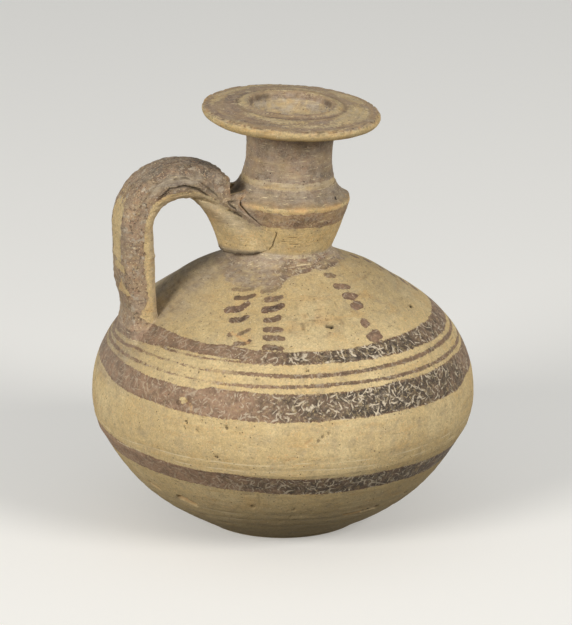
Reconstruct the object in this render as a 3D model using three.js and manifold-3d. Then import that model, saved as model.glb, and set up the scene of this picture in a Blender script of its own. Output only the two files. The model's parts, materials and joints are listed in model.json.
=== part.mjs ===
import * as THREE from 'three';
import { mergeVertices } from 'three/addons/utils/BufferGeometryUtils.js';
import Module from 'manifold-3d';

const wasm = await Module();
wasm.setup();

// Driving dimensions in millimetres, and in degrees where the name says so.
// The vessel stands on z = 0 with the body's axis on Z and the handle towards -X.

// Body: a bowl and a shoulder dome, luted at a low angle in the outline
const BASE_RADIUS = 20;
const BASE_PITCH_DEG = 30;
const FLOOR_THICKNESS = 6;
const WALL_THICKNESS = 4.5;
const BELLY_RADIUS = 47.9;
const BELLY_HEIGHT = 32.5;
const SEAM_INSET = 1.2;
const SEAM_DROP = 6.5;
const SEAM_PITCH_DEG = 60;
const SHOULDER_HEIGHT = 69.2;
const SHOULDER_PITCH_DEG = 33;
const SEAT_LEDGE = 1;

// Neck: a flaring cup that ends in the ridge, and a tube standing in its socket
const BORE_RADIUS = 7.4;
const CUP_WALL = 3.8;
const CUP_FLARE = 4.4;
const CUP_HEIGHT = 14;
const LIP_WIDTH = 3.4;
const LIP_ROUND = 1;
const SOCKET_DEPTH = 4;
const SOCKET_LEDGE = 1.6;
const TUBE_LENGTH = 20.8;
const TUBE_WALL = 3.3;
const HEAD_WALL = 5.2;
const NECK_LEAN_DEG = 2.7;
const NECK_OFFSET = 0.6;

// Mouth: a broad flat disc, thicker over the neck than at its edge
const RIM_RADIUS = 22;
const RIM_EDGE = 3.4;
const RIM_CENTRE = 4.7;
const MOUTH_RADIUS = 10.2;

// Handle: a strap of rounded oblong section, up from the shoulder and over to the ridge
const STRAP_WIDTH = 13;
const STRAP_THICKNESS = 8.2;
const STRAP_ROUND = 2.5;
const FOOT_DROP = 14.7;
const LEG_SPLAY = 1.7;
const ARCH_RISE = 7;
const ARCH_HEIGHT = 11;
const ROOT_PITCH_DEG = 42;

// Luting: the soft clay pressed round each joint
const NECK_LUTING_HEIGHT = 1.2;
const NECK_LUTING_SPREAD = 3.6;
const RIDGE_LUTING_HEIGHT = 2.7;
const ROOT_LUTING_WIDTH = 12;
const ROOT_LUTING_REACH = 4.6;
const ROOT_LUTING_TOE = 4.2;
const FOOT_LUTING_HEIGHT = 2;
const FOOT_LUTING_SPREAD = 1.8;
const LUTING_EDGE = 0.4;

// Clearance between neighbouring pieces of clay
const CLEARANCE = 0.3;

// How full each curve is, as shares of its own span
const BOWL_START_FULLNESS = 0.37;
const BOWL_END_FULLNESS = 0.53;
const BELLY_FULLNESS = 0.61;
const SHOULDER_FULLNESS = 0.43;
const CUP_FLANK_SHARE = 0.42;
const TUBE_WAIST_SHARE = 0.6;
const ARCH_FULLNESS = 0.57;

// Facets
const BODY_SEGMENTS = 40;
const NECK_SEGMENTS = 32;
const STRAP_CORNER_POINTS = 3;
const STRAP_STEPS = 30;

// Values that follow from the driving dimensions
const seamRadius = BELLY_RADIUS - SEAM_INSET;
const seamHeight = BELLY_HEIGHT - SEAM_DROP;
const seamGap = CLEARANCE / Math.sin(radians(SEAM_PITCH_DEG));
const cupFootRadius = BORE_RADIUS + CUP_WALL;
const seatRadius = cupFootRadius + SEAT_LEDGE;
const ridgeRadius = cupFootRadius + CUP_FLARE;
const socketRadius = ridgeRadius - LIP_WIDTH;
const tubeFootRadius = socketRadius - CLEARANCE;
const tubeFootHeight = CUP_HEIGHT - SOCKET_DEPTH + CLEARANCE;
const tubeTopHeight = tubeFootHeight + TUBE_LENGTH;
const headRadius = BORE_RADIUS + HEAD_WALL;
const discFootHeight = tubeTopHeight + CLEARANCE;
const leanAngle = radians(NECK_LEAN_DEG);
const neckFootHeight = SHOULDER_HEIGHT + CLEARANCE + cupFootRadius * Math.sin(leanAngle);

function radians(degrees) {
  return THREE.MathUtils.degToRad(degrees);
}

function point(radius, height) {
  return new THREE.Vector2(radius, height);
}

// A step from start along a pitch measured up from the horizontal
function along(start, pitchDegrees, length) {
  const pitch = radians(pitchDegrees);
  return point(start.x + Math.cos(pitch) * length, start.y + Math.sin(pitch) * length);
}

// An outline moved by distance along its own outward normals; negative moves it into the wall
function offset(outline, distance) {
  return outline.map((here, index) => {
    const before = outline[Math.max(index - 1, 0)];
    const after = outline[Math.min(index + 1, outline.length - 1)];
    const run = after.clone().sub(before).normalize();
    return point(here.x + run.y * distance, here.y - run.x * distance);
  });
}

// The radius of an upward outline at a height
function radiusAt(outline, height) {
  const index = Math.max(1, outline.findIndex((spot) => spot.y >= height));
  const low = outline[index - 1];
  const high = outline[index];
  const share = (height - low.y) / (high.y - low.y);
  return THREE.MathUtils.lerp(low.x, high.x, share);
}

// The height of an outline that narrows upward, at a radius on it
function heightAt(outline, radius) {
  const widest = outline.reduce((best, spot, place) => (spot.x > outline[best].x ? place : best), 0);
  const index = outline.findIndex((spot, place) => place > widest && spot.x <= radius);
  const low = outline[index - 1];
  const high = outline[index];
  return THREE.MathUtils.mapLinear(radius, low.x, high.x, low.y, high.y);
}

// The hollow curve of clay smeared into a corner, from its toe up to its top
function fillet(low, high) {
  const hollow = point((low.x + high.x * 2) / 3, (low.y * 2 + high.y) / 3);
  return new THREE.QuadraticBezierCurve(low, hollow, high).getPoints(3);
}

// A turned solid from an outline in (radius, height), closed on itself or on the axis
function turned(outline, segments) {
  const first = outline[0];
  const closed = first.x === 0 ? outline : [...outline, first.clone()];
  return new THREE.LatheGeometry(closed, segments).rotateX(Math.PI / 2);
}

// The space inside an upward outline, grown by the clearance, used to cut what rests on it
function grown(outline, segments) {
  const skin = offset(outline, CLEARANCE);
  const bottom = point(0, skin[0].y);
  const top = point(0, skin[skin.length - 1].y);
  return turned([bottom, ...skin, top], segments);
}

function toSolid(geometry) {
  const bare = geometry.clone();
  bare.deleteAttribute('normal');
  bare.deleteAttribute('uv');
  const merged = mergeVertices(bare, 1e-4);
  const vertProperties = new Float32Array(merged.attributes.position.array);
  const triVerts = new Uint32Array(merged.index.array);
  return new wasm.Manifold(new wasm.Mesh({ numProp: 3, vertProperties, triVerts }));
}

function toGeometry(solid) {
  const mesh = solid.getMesh();
  const geometry = new THREE.BufferGeometry();
  geometry.setAttribute('position', new THREE.BufferAttribute(mesh.vertProperties, 3));
  geometry.setIndex(new THREE.BufferAttribute(mesh.triVerts, 1));
  geometry.computeVertexNormals();
  return geometry;
}

function cut(blank, ...cutters) {
  const start = toSolid(blank);
  const result = cutters.reduce((solid, cutter) => solid.subtract(toSolid(cutter)), start);
  return toGeometry(result);
}

// Body outlines

function bowlOutline() {
  const start = point(BASE_RADIUS, 0);
  const end = point(seamRadius, seamHeight);
  const span = start.distanceTo(end);
  const leave = along(start, BASE_PITCH_DEG, span * BOWL_START_FULLNESS);
  const arrive = along(end, SEAM_PITCH_DEG, -span * BOWL_END_FULLNESS);
  return new THREE.CubicBezierCurve(start, leave, arrive, end).getPoints(10);
}

function shoulderOutline() {
  const seam = point(seamRadius, seamHeight + seamGap);
  const belly = point(BELLY_RADIUS, BELLY_HEIGHT);
  const seat = point(seatRadius, SHOULDER_HEIGHT);
  const rise = SHOULDER_HEIGHT - BELLY_HEIGHT;
  const reach = (BELLY_RADIUS - seatRadius) / Math.cos(radians(SHOULDER_PITCH_DEG));
  const underBelly = point(BELLY_RADIUS, (seam.y + belly.y) / 2);
  const overBelly = point(BELLY_RADIUS, BELLY_HEIGHT + rise * BELLY_FULLNESS);
  const arrive = along(seat, -SHOULDER_PITCH_DEG, reach * SHOULDER_FULLNESS);
  const lower = new THREE.QuadraticBezierCurve(seam, underBelly, belly).getPoints(3);
  const upper = new THREE.CubicBezierCurve(belly, overBelly, arrive, seat).getPoints(12);
  return [...lower, ...upper.slice(1)];
}

const bowl = bowlOutline();
const shoulder = shoulderOutline();
const seamInner = along(point(seamRadius, seamHeight), SEAM_PITCH_DEG + 90, WALL_THICKNESS);

function lowerBodyGeometry() {
  const inside = offset(bowl, -WALL_THICKNESS).filter((spot) => spot.y > FLOOR_THICKNESS);
  const floorRadius = radiusAt(offset(bowl, -WALL_THICKNESS), FLOOR_THICKNESS);
  const hollow = [...inside.slice(0, -1).reverse(), point(floorRadius, FLOOR_THICKNESS)];
  return turned(
    [point(0, 0), ...bowl, seamInner, ...hollow, point(0, FLOOR_THICKNESS)],
    BODY_SEGMENTS,
  );
}

function upperBodyGeometry() {
  const innerSeam = point(seamInner.x, seamInner.y + seamGap);
  const inside = offset(shoulder, -WALL_THICKNESS).filter(
    (spot) => spot.y > innerSeam.y + CLEARANCE && spot.x > BORE_RADIUS + CLEARANCE,
  );
  const underSeat = point(BORE_RADIUS, inside[inside.length - 1].y);
  const seatInner = point(BORE_RADIUS, SHOULDER_HEIGHT);
  return turned([...shoulder, seatInner, underSeat, ...inside.reverse(), innerSeam], BODY_SEGMENTS);
}

// Neck outlines, measured up the neck's own axis from its foot

function cupOutline() {
  const shoulderOfLip = point(ridgeRadius, CUP_HEIGHT - LIP_ROUND);
  const lipCorner = point(ridgeRadius, CUP_HEIGHT);
  const lip = point(ridgeRadius - LIP_ROUND / 2, CUP_HEIGHT);
  const flank = point((cupFootRadius + ridgeRadius) / 2, CUP_HEIGHT * CUP_FLANK_SHARE);
  const foot = point(cupFootRadius, 0);
  const wall = new THREE.QuadraticBezierCurve(foot, flank, shoulderOfLip).getPoints(4);
  const round = new THREE.QuadraticBezierCurve(shoulderOfLip, lipCorner, lip).getPoints(2);
  return [...wall, ...round.slice(1)];
}

function tubeOutline() {
  const waistRadius = BORE_RADIUS + TUBE_WALL;
  const rim = point(tubeFootRadius, CUP_HEIGHT + CLEARANCE);
  const waistHeight = THREE.MathUtils.lerp(rim.y, tubeTopHeight, TUBE_WAIST_SHARE);
  const middle = (rim.y + waistHeight) / 2;
  const waist = point(waistRadius, waistHeight);
  const head = point(headRadius, tubeTopHeight);
  const lower = new THREE.CubicBezierCurve(
    rim,
    point(tubeFootRadius, middle),
    point(waistRadius, middle),
    waist,
  );
  const upper = new THREE.QuadraticBezierCurve(waist, point(waistRadius, tubeTopHeight), head);
  const foot = point(tubeFootRadius, tubeFootHeight);
  return [foot, ...lower.getPoints(6), ...upper.getPoints(4).slice(1)];
}

const cup = cupOutline();
const tube = tubeOutline();

function ridgeSlope() {
  const bottom = CUP_HEIGHT + CLEARANCE;
  const top = bottom + RIDGE_LUTING_HEIGHT;
  const low = point(ridgeRadius - LIP_ROUND / 2, bottom);
  const high = point(radiusAt(tube, top) + CLEARANCE + LUTING_EDGE, top);
  return fillet(low, high);
}

const slope = ridgeSlope();

function cupGeometry() {
  const ledgeHeight = CUP_HEIGHT - SOCKET_DEPTH;
  return turned(
    [
      ...cup,
      point(socketRadius, CUP_HEIGHT),
      point(socketRadius, ledgeHeight),
      point(socketRadius - SOCKET_LEDGE, ledgeHeight),
      point(BORE_RADIUS, 0),
    ],
    NECK_SEGMENTS,
  );
}

function tubeGeometry() {
  const bore = [point(BORE_RADIUS, tubeTopHeight), point(BORE_RADIUS, tubeFootHeight)];
  return turned([...tube, ...bore], NECK_SEGMENTS);
}

function ridgeLutingGeometry() {
  const heights = slope.map((spot) => spot.y).reverse();
  const inside = heights.map((height) => point(radiusAt(tube, height) + CLEARANCE, height));
  return turned([...slope, ...inside], NECK_SEGMENTS);
}

function mouthDiscGeometry() {
  const top = discFootHeight + RIM_CENTRE;
  const edgeFoot = top - RIM_EDGE;
  const round = RIM_EDGE / 2;
  const edge = new THREE.EllipseCurve(
    RIM_RADIUS - round,
    edgeFoot + round,
    round,
    round,
    -Math.PI / 2,
    Math.PI / 2,
  );
  return turned(
    [
      point(BORE_RADIUS, discFootHeight),
      point(headRadius, discFootHeight),
      ...edge.getPoints(6),
      point(MOUTH_RADIUS, top),
    ],
    BODY_SEGMENTS,
  );
}

// Where the leaning neck stands on the body
const neckFrame = new THREE.Group();
neckFrame.position.set(NECK_OFFSET, 0, neckFootHeight);
neckFrame.rotation.y = leanAngle;
neckFrame.updateMatrixWorld();

function bodySpace() {
  return grown(shoulder, BODY_SEGMENTS);
}

function neckSpace() {
  const belowFoot = point(cupFootRadius, -WALL_THICKNESS);
  const above = tube.filter((spot) => spot.y > slope[slope.length - 1].y);
  return grown([belowFoot, ...cup, ...slope, ...above], NECK_SEGMENTS)
    .applyMatrix4(neckFrame.matrixWorld);
}

// The ring of luting clay lies on the shoulder and climbs the cup's foot
function neckLutingOutline() {
  const bed = offset(shoulder, CLEARANCE);
  const top = SHOULDER_HEIGHT + CLEARANCE + NECK_LUTING_HEIGHT;
  const toeRadius = seatRadius + NECK_LUTING_SPREAD;
  const toe = point(toeRadius, heightAt(bed, toeRadius) + LUTING_EDGE);
  const cupReach = radiusAt(cup, NECK_LUTING_HEIGHT) + NECK_OFFSET;
  return fillet(toe, point(cupReach + CLEARANCE + LUTING_EDGE, top));
}

const neckRing = neckLutingOutline();

function neckLutingGeometry() {
  const top = neckRing[neckRing.length - 1].y;
  const sunk = SHOULDER_HEIGHT - NECK_LUTING_SPREAD;
  const blank = turned(
    [point(0, sunk), point(neckRing[0].x, sunk), ...neckRing, point(0, top)],
    BODY_SEGMENTS,
  );
  return cut(blank, bodySpace(), neckSpace());
}

function neckRingSpace() {
  const below = point(neckRing[0].x, SHOULDER_HEIGHT - NECK_LUTING_SPREAD);
  return grown([below, ...neckRing], BODY_SEGMENTS);
}

// Handle, drawn in its own plane as distance out from the body's axis and height

const footHeight = SHOULDER_HEIGHT - FOOT_DROP;
const ridgeCentre = new THREE.Vector3(0, 0, CUP_HEIGHT - LIP_ROUND).applyMatrix4(neckFrame.matrixWorld);
const ridgeReach = ridgeRadius - ridgeCentre.x;

function inHandlePlane(reach, height) {
  return new THREE.Vector3(-reach, 0, height);
}

function handlePath() {
  const footReach = radiusAt(shoulder, footHeight);
  const legReach = footReach + LEG_SPLAY;
  const topHeight = ridgeCentre.z + ARCH_RISE;
  const springHeight = topHeight - ARCH_HEIGHT;
  const topReach = (legReach + ridgeReach) / 2;
  const rootReach = ridgeReach - LIP_WIDTH;
  const rootHeight = ridgeCentre.z - LIP_WIDTH / 2;
  const rootPull = (topReach - rootReach) / 2;
  const rootPitch = radians(ROOT_PITCH_DEG);
  const foot = inHandlePlane(footReach, footHeight - WALL_THICKNESS);
  const spring = inHandlePlane(legReach, springHeight);
  const top = inHandlePlane(topReach, topHeight);
  const root = inHandlePlane(rootReach, rootHeight);
  const legMiddle = (footHeight + springHeight) / 2;
  const path = new THREE.CurvePath();
  path.add(new THREE.CubicBezierCurve3(
    foot,
    inHandlePlane(footReach, footHeight),
    inHandlePlane(legReach, legMiddle),
    spring,
  ));
  path.add(new THREE.CubicBezierCurve3(
    spring,
    inHandlePlane(legReach, springHeight + ARCH_HEIGHT * ARCH_FULLNESS),
    inHandlePlane(topReach + (legReach - topReach) * ARCH_FULLNESS, topHeight),
    top,
  ));
  path.add(new THREE.CubicBezierCurve3(
    top,
    inHandlePlane(topReach - rootPull, topHeight),
    inHandlePlane(rootReach + rootPull * Math.cos(rootPitch), rootHeight + rootPull * Math.sin(rootPitch)),
    root,
  ));
  return path;
}

// The strap's section: an oblong with rounded corners, grown by margin all round
function strapSection(margin) {
  const section = new THREE.Shape();
  const round = STRAP_ROUND + margin;
  const across = STRAP_WIDTH / 2 - STRAP_ROUND;
  const through = STRAP_THICKNESS / 2 - STRAP_ROUND;
  const quarter = Math.PI / 2;
  section.absarc(across, through, round, 0, quarter);
  section.absarc(-across, through, round, quarter, quarter * 2);
  section.absarc(-across, -through, round, quarter * 2, quarter * 3);
  section.absarc(across, -through, round, quarter * 3, quarter * 4);
  section.closePath();
  return section;
}

function strapSweep(margin) {
  return new THREE.ExtrudeGeometry(strapSection(margin), {
    steps: STRAP_STEPS,
    curveSegments: STRAP_CORNER_POINTS,
    extrudePath: handlePath(),
    bevelEnabled: false,
  });
}

function handleStrapGeometry() {
  return cut(strapSweep(0), bodySpace(), neckSpace());
}

// A wedge of clay in the corner between strap, cup and shoulder
function handleRootLutingGeometry() {
  const bevel = ROOT_LUTING_WIDTH / 4;
  const headHeight = ridgeCentre.z - LIP_ROUND;
  const head = point(ridgeReach + ROOT_LUTING_REACH, headHeight);
  const toe = point(cupFootRadius + ROOT_LUTING_TOE, SHOULDER_HEIGHT - ROOT_LUTING_TOE);
  const waist = point(cupFootRadius + ROOT_LUTING_TOE, (headHeight + SHOULDER_HEIGHT) / 2);
  const outline = new THREE.Shape();
  outline.moveTo(0, toe.y);
  outline.lineTo(toe.x - bevel, toe.y);
  outline.quadraticCurveTo(waist.x - bevel, waist.y, head.x - bevel, head.y);
  outline.lineTo(0, head.y);
  const blank = new THREE.ExtrudeGeometry(outline, {
    depth: ROOT_LUTING_WIDTH - bevel * 2,
    bevelEnabled: true,
    bevelSize: bevel,
    bevelThickness: bevel,
    bevelSegments: 2,
    curveSegments: 5,
  });
  blank.translate(0, 0, bevel - ROOT_LUTING_WIDTH / 2);
  blank.rotateX(Math.PI / 2);
  blank.rotateZ(Math.PI);
  return cut(blank, strapSweep(CLEARANCE), neckSpace(), bodySpace(), neckRingSpace());
}

// A collar round the strap's foot, laid to the slope of the shoulder
function handleFootLutingGeometry() {
  const blank = new THREE.ExtrudeGeometry(strapSection(CLEARANCE + LUTING_EDGE), {
    depth: WALL_THICKNESS,
    bevelEnabled: true,
    bevelSize: FOOT_LUTING_SPREAD,
    bevelThickness: FOOT_LUTING_HEIGHT,
    bevelSegments: 2,
    curveSegments: STRAP_CORNER_POINTS,
  });
  blank.translate(0, 0, -WALL_THICKNESS);
  blank.rotateZ(Math.PI / 2);
  const step = STRAP_THICKNESS / 2;
  const fall = radiusAt(shoulder, footHeight - step) - radiusAt(shoulder, footHeight + step);
  const layToSlope = new THREE.Matrix4().set(
    1, 0, 0, 0,
    0, 1, 0, 0,
    step * 2 / fall, 0, 1, 0,
    0, 0, 0, 1,
  );
  blank.applyMatrix4(layToSlope);
  blank.translate(-radiusAt(shoulder, footHeight), 0, footHeight);
  return cut(blank, strapSweep(CLEARANCE), bodySpace());
}

// Clays: the bare body, the darker painted neck and the worn luting
const clays = {
  buff: { color: 0xcbb084, roughness: 0.82 },
  pale: { color: 0xd2b98c, roughness: 0.84 },
  neck: { color: 0xb79a72, roughness: 0.8 },
  brown: { color: 0x8a7460, roughness: 0.78 },
  luting: { color: 0xb9a282, roughness: 0.88 },
};

function piece(name, geometry, clay) {
  const mesh = new THREE.Mesh(geometry, new THREE.MeshStandardMaterial({ ...clay, metalness: 0 }));
  mesh.name = name;
  return mesh;
}

neckFrame.add(
  piece('neck_cup', cupGeometry(), clays.neck),
  piece('neck_tube', tubeGeometry(), clays.brown),
  piece('ridge_luting', ridgeLutingGeometry(), clays.luting),
  piece('mouth_disc', mouthDiscGeometry(), clays.brown),
);

const juglet = new THREE.Group();
juglet.add(
  piece('lower_body', lowerBodyGeometry(), clays.buff),
  piece('upper_body', upperBodyGeometry(), clays.pale),
  piece('neck_luting', neckLutingGeometry(), clays.luting),
  neckFrame,
  piece('handle_strap', handleStrapGeometry(), clays.brown),
  piece('handle_root_luting', handleRootLutingGeometry(), clays.luting),
  piece('handle_foot_luting', handleFootLutingGeometry(), clays.luting),
);

export default juglet;
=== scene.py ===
"""A small painted clay juglet with a disc rim and a strap handle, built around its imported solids."""
import collections
import itertools
import json
import math

import bmesh
import bpy
import numpy as np
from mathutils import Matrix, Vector


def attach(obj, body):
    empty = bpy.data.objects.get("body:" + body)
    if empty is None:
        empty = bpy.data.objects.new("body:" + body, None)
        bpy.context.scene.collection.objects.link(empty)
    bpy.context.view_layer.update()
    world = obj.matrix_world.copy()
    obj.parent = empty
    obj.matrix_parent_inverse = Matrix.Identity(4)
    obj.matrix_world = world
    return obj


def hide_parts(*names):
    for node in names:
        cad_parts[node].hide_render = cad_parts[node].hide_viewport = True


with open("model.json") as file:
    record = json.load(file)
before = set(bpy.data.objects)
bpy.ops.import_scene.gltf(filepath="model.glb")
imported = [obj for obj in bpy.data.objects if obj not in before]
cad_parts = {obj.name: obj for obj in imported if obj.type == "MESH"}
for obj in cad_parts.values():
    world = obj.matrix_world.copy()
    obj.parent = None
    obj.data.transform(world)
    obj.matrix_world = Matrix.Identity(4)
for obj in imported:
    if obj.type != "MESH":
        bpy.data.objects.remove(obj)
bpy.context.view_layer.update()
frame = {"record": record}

# Sizes are in millimetres and angles in degrees until a mesh is made
METRE = 0.001

# The view: bearings are turned from the camera's side of the pot, to the right
IMAGE_WIDTH = 572
IMAGE_HEIGHT = 625
CAMERA_AZIMUTH = -18.0
CAMERA_ELEVATION = 17.63
CAMERA_DISTANCE = 1000.0
AIM_HEIGHT = 50.0
AIM_PIXEL = (282.5, 322.85)
PIXEL_SIZE = 0.25

# Body
BASE_RADIUS = 20.0
BASE_PITCH = 30.0
BASE_ROUND = 0.6
BASE_HOLLOW = 0.5
FLOOR_THICKNESS = 6.0
WALL_THICKNESS = 4.5
BELLY_RADIUS = 47.9
BELLY_HEIGHT = 32.5
SEAM_RADIUS = 46.7
SEAM_HEIGHT = 26.0
SEAM_PITCH = 60.0
SEAT_RADIUS = 12.2
SEAT_HEIGHT = 69.2
SHOULDER_PITCH = 33.0
BOWL_START_FULLNESS = 0.37
BOWL_END_FULLNESS = 0.53
BELLY_FULLNESS = 0.61
SHOULDER_FULLNESS = 0.43

# Neck, measured up its own leaning axis
NECK_LEAN = 2.7
NECK_FOOT = (0.6, 0.0, 70.03)
BORE_RADIUS = 7.4
CUP_FOOT_RADIUS = 11.2
CUP_HEIGHT = 14.0
CUP_FLANK = (13.4, 5.88)
RIDGE_RADIUS = 15.6
LIP_ROUND = 1.0
SOCKET_RADIUS = 12.2
SOCKET_HEIGHT = 10.0
TUBE_RADIUS = 11.9
WAIST_RADIUS = 10.7
WAIST_HEIGHT = 24.4
HEAD_RADIUS = 12.6
DISC_FOOT_HEIGHT = 31.3
SLOPE_TOP_HEIGHT = 17.4
RIM_TOP_HEIGHT = 36.1
MOUTH_RADIUS = 10.2
NECK_RING_RADIUS = 15.0
NECK_RING_HEIGHT = 1.0

# Handle, in its own plane: reach out from the body's axis, and height
HANDLE_FOOT = (37.6, 50.0)
HANDLE_SPRING = (38.6, 79.0)
HANDLE_TOP = (27.0, 90.0)
HANDLE_ROOT = (11.0, 81.3)
ARCH_FULLNESS = 0.57
ROOT_PITCH = 42.0
STRAP_WIDTH = 13.0
STRAP_THICKNESS = 8.2

# Mesh spacing
BODY_COLUMNS = 600
BODY_STEP = 0.52
NECK_COLUMNS = 420
NECK_STEP = 0.26
STRAP_STEP = 0.28
STRAP_COLUMNS = 140
HIDDEN_STEP = 3.0


# Curves and noise

def bezier(*points, count=60):
    """Points along the curve that the given points control."""
    share = np.linspace(0, 1, count).reshape(-1, *[1] * np.ndim(points[0]))
    layer = [np.asarray(spot, float) + 0 * share for spot in points]
    while len(layer) > 1:
        layer = [a + (b - a) * share for a, b in zip(layer, layer[1:])]
    return layer[0]


def chain(*stretches):
    """One line of stretches that meet end to end."""
    return np.vstack([stretches[0]] + [stretch[1:] for stretch in stretches[1:]])


def run_along(line):
    """The distance along a line at each of its points."""
    return np.concatenate([[0], np.cumsum(np.linalg.norm(np.diff(line, axis=0), axis=1))])


def resampled(line, step):
    """The same line with its points about step apart."""
    line = np.asarray(line, float)
    run = run_along(line)
    spots = np.linspace(0, run[-1], max(2, round(run[-1] / step) + 1))
    return np.stack([np.interp(spots, run, line[:, k]) for k in range(line.shape[1])], 1)


def pitched(start, pitch, length):
    """A step from start at a pitch above the level."""
    angle = math.radians(pitch)
    return (start[0] + length * math.cos(angle), start[1] + length * math.sin(angle))


def step_up(value, low, high):
    """0 at low and beyond it, 1 at high and beyond it, smooth between; either may be the greater."""
    share = np.clip((value - low) / (high - low), 0, 1)
    return share * share * (3 - 2 * share)


def between(value, start, full, fading, end):
    """1 from full to fading, easing to 0 at start and at end."""
    return step_up(value, start, full) * step_up(value, end, fading)


def bell(value, width):
    """1 where a value is 0, and next to nothing beyond twice the width."""
    return np.exp(-((value / width) ** 2))


# What noise scatters the whole numbers of its cells with, and how far a seed moves it
SCATTER = (73856093, 19349663, 83492791)
SECOND_SCATTER = 1274126177
LARGEST = 0x7FFFFFFF
SEED_STEP = 17.31


def noise(points, cell, seed):
    """Smooth noise from -1 to 1 that changes over about one cell."""
    spot = np.asarray(points, float) / cell + seed * SEED_STEP
    corner = np.floor(spot).astype(np.int64)
    share = spot - corner
    blend = share * share * (3 - 2 * share)
    total = np.zeros(spot.shape[:-1])
    for step in itertools.product((0, 1), repeat=3):
        mixed = np.bitwise_xor.reduce((corner + step) * SCATTER, axis=-1)
        mixed = (mixed ^ (mixed >> 13)) * SECOND_SCATTER & LARGEST
        value = ((mixed ^ (mixed >> 11)) & 0xFFFF) / 32767.5 - 1
        total += value * np.prod(np.where(step, blend, 1 - blend), axis=-1)
    return total


def layered(points, *layers):
    """Layers of noise added up, each from how strong it is, its cell and its seed."""
    return sum(amount * noise(points, cell, seed) for amount, cell, seed in layers)


def around(bearing, height, stretch):
    """Points for noise that runs in level streaks round the pot."""
    turn = np.radians(bearing)
    return np.stack([np.cos(turn) * stretch, np.sin(turn) * stretch, height], -1)


# Places on the pot

def heading(bearing):
    """The level direction at a bearing."""
    turn = np.radians(np.asarray(bearing, float) + CAMERA_AZIMUTH)
    return np.stack([np.sin(turn), -np.cos(turn), 0 * turn], -1)


FRONT = heading(0.0)
RIGHT = heading(90.0)
UP = np.array([0.0, 0.0, 1.0])
HANDLE_BEARING = -72.0


def unit(vectors):
    """Vectors of the same directions, each 1 long."""
    return vectors / np.maximum(np.linalg.norm(vectors, axis=-1, keepdims=True), 1e-9)


def leaning(points, lean):
    """Points turned in the handle's plane."""
    angle = math.radians(lean)
    x, y, z = np.moveaxis(points, -1, 0)
    turned_x = x * math.cos(angle) + z * math.sin(angle)
    turned_z = z * math.cos(angle) - x * math.sin(angle)
    return np.stack([turned_x, y, turned_z], -1)


def neck_to_pot(points):
    """Points from the neck's own frame to the pot's."""
    return leaning(np.asarray(points, float), NECK_LEAN) + NECK_FOOT


def pot_to_neck(points):
    """Points from the pot's frame to the neck's own."""
    return leaning(np.asarray(points, float) - NECK_FOOT, -NECK_LEAN)


def place_of(points):
    """Bearing, radius and height of points about the upright axis of their frame."""
    ahead = points @ FRONT
    aside = points @ RIGHT
    return np.degrees(np.arctan2(aside, ahead)), np.hypot(ahead, aside), points[..., 2]


def bowl_outline():
    start = (BASE_RADIUS, BASE_ROUND / 2)
    end = (SEAM_RADIUS, SEAM_HEIGHT)
    span = math.dist(start, end)
    leave = pitched(start, BASE_PITCH, span * BOWL_START_FULLNESS)
    arrive = pitched(end, SEAM_PITCH, -span * BOWL_END_FULLNESS)
    return bezier(start, leave, arrive, end)


def shoulder_outline():
    seam = (SEAM_RADIUS, SEAM_HEIGHT)
    belly = (BELLY_RADIUS, BELLY_HEIGHT)
    seat = (SEAT_RADIUS, SEAT_HEIGHT)
    reach = (BELLY_RADIUS - SEAT_RADIUS) / math.cos(math.radians(SHOULDER_PITCH))
    under = (BELLY_RADIUS, (SEAM_HEIGHT + BELLY_HEIGHT) / 2)
    over = (BELLY_RADIUS, BELLY_HEIGHT + (SEAT_HEIGHT - BELLY_HEIGHT) * BELLY_FULLNESS)
    arrive = pitched(seat, -SHOULDER_PITCH, reach * SHOULDER_FULLNESS)
    return chain(bezier(seam, under, belly), bezier(belly, over, arrive, seat, count=160))


def cup_outline():
    lip = RIDGE_RADIUS - LIP_ROUND / 2
    wall = bezier((CUP_FOOT_RADIUS, 0), CUP_FLANK, (RIDGE_RADIUS, CUP_HEIGHT - LIP_ROUND))
    edge = bezier((RIDGE_RADIUS, CUP_HEIGHT - LIP_ROUND), (RIDGE_RADIUS, CUP_HEIGHT), (lip, CUP_HEIGHT))
    return chain(wall, edge)


def slope_outline():
    start = (RIDGE_RADIUS - LIP_ROUND / 2, CUP_HEIGHT)
    end = (TUBE_RADIUS, SLOPE_TOP_HEIGHT)
    return bezier(start, (TUBE_RADIUS + 0.9, CUP_HEIGHT + 1.1), end)


def tube_outline():
    foot = (TUBE_RADIUS, CUP_HEIGHT)
    waist = (WAIST_RADIUS, WAIST_HEIGHT)
    middle = (CUP_HEIGHT + WAIST_HEIGHT) / 2
    lower = bezier(foot, (TUBE_RADIUS, middle), (WAIST_RADIUS, middle), waist)
    return chain(lower, bezier(waist, (WAIST_RADIUS, DISC_FOOT_HEIGHT), (HEAD_RADIUS, DISC_FOOT_HEIGHT)))


bowl_line = bowl_outline()
shoulder_line = shoulder_outline()
body_line = chain(bowl_line, shoulder_line)
tube_line = tube_outline()
above_slope = tube_line[tube_line[:, 1] > SLOPE_TOP_HEIGHT]
neck_line = np.vstack([cup_outline(), slope_outline()[1:], above_slope])


def body_radius(height):
    return np.interp(height, body_line[:, 1], body_line[:, 0])


def neck_radius(height):
    return np.interp(height, neck_line[:, 1], neck_line[:, 0])


def at(bearing, radius, height):
    """A point from its bearing, radius and height."""
    level = np.asarray(radius, float)[..., None] * heading(bearing)
    return level + np.asarray(height, float)[..., None] * UP


def on_body(bearing, height):
    return at(bearing, body_radius(height), height)


def on_neck(bearing, height):
    """A place on the neck, in the neck's own frame."""
    return at(bearing, neck_radius(height), height)


# Marks in the clay

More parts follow.
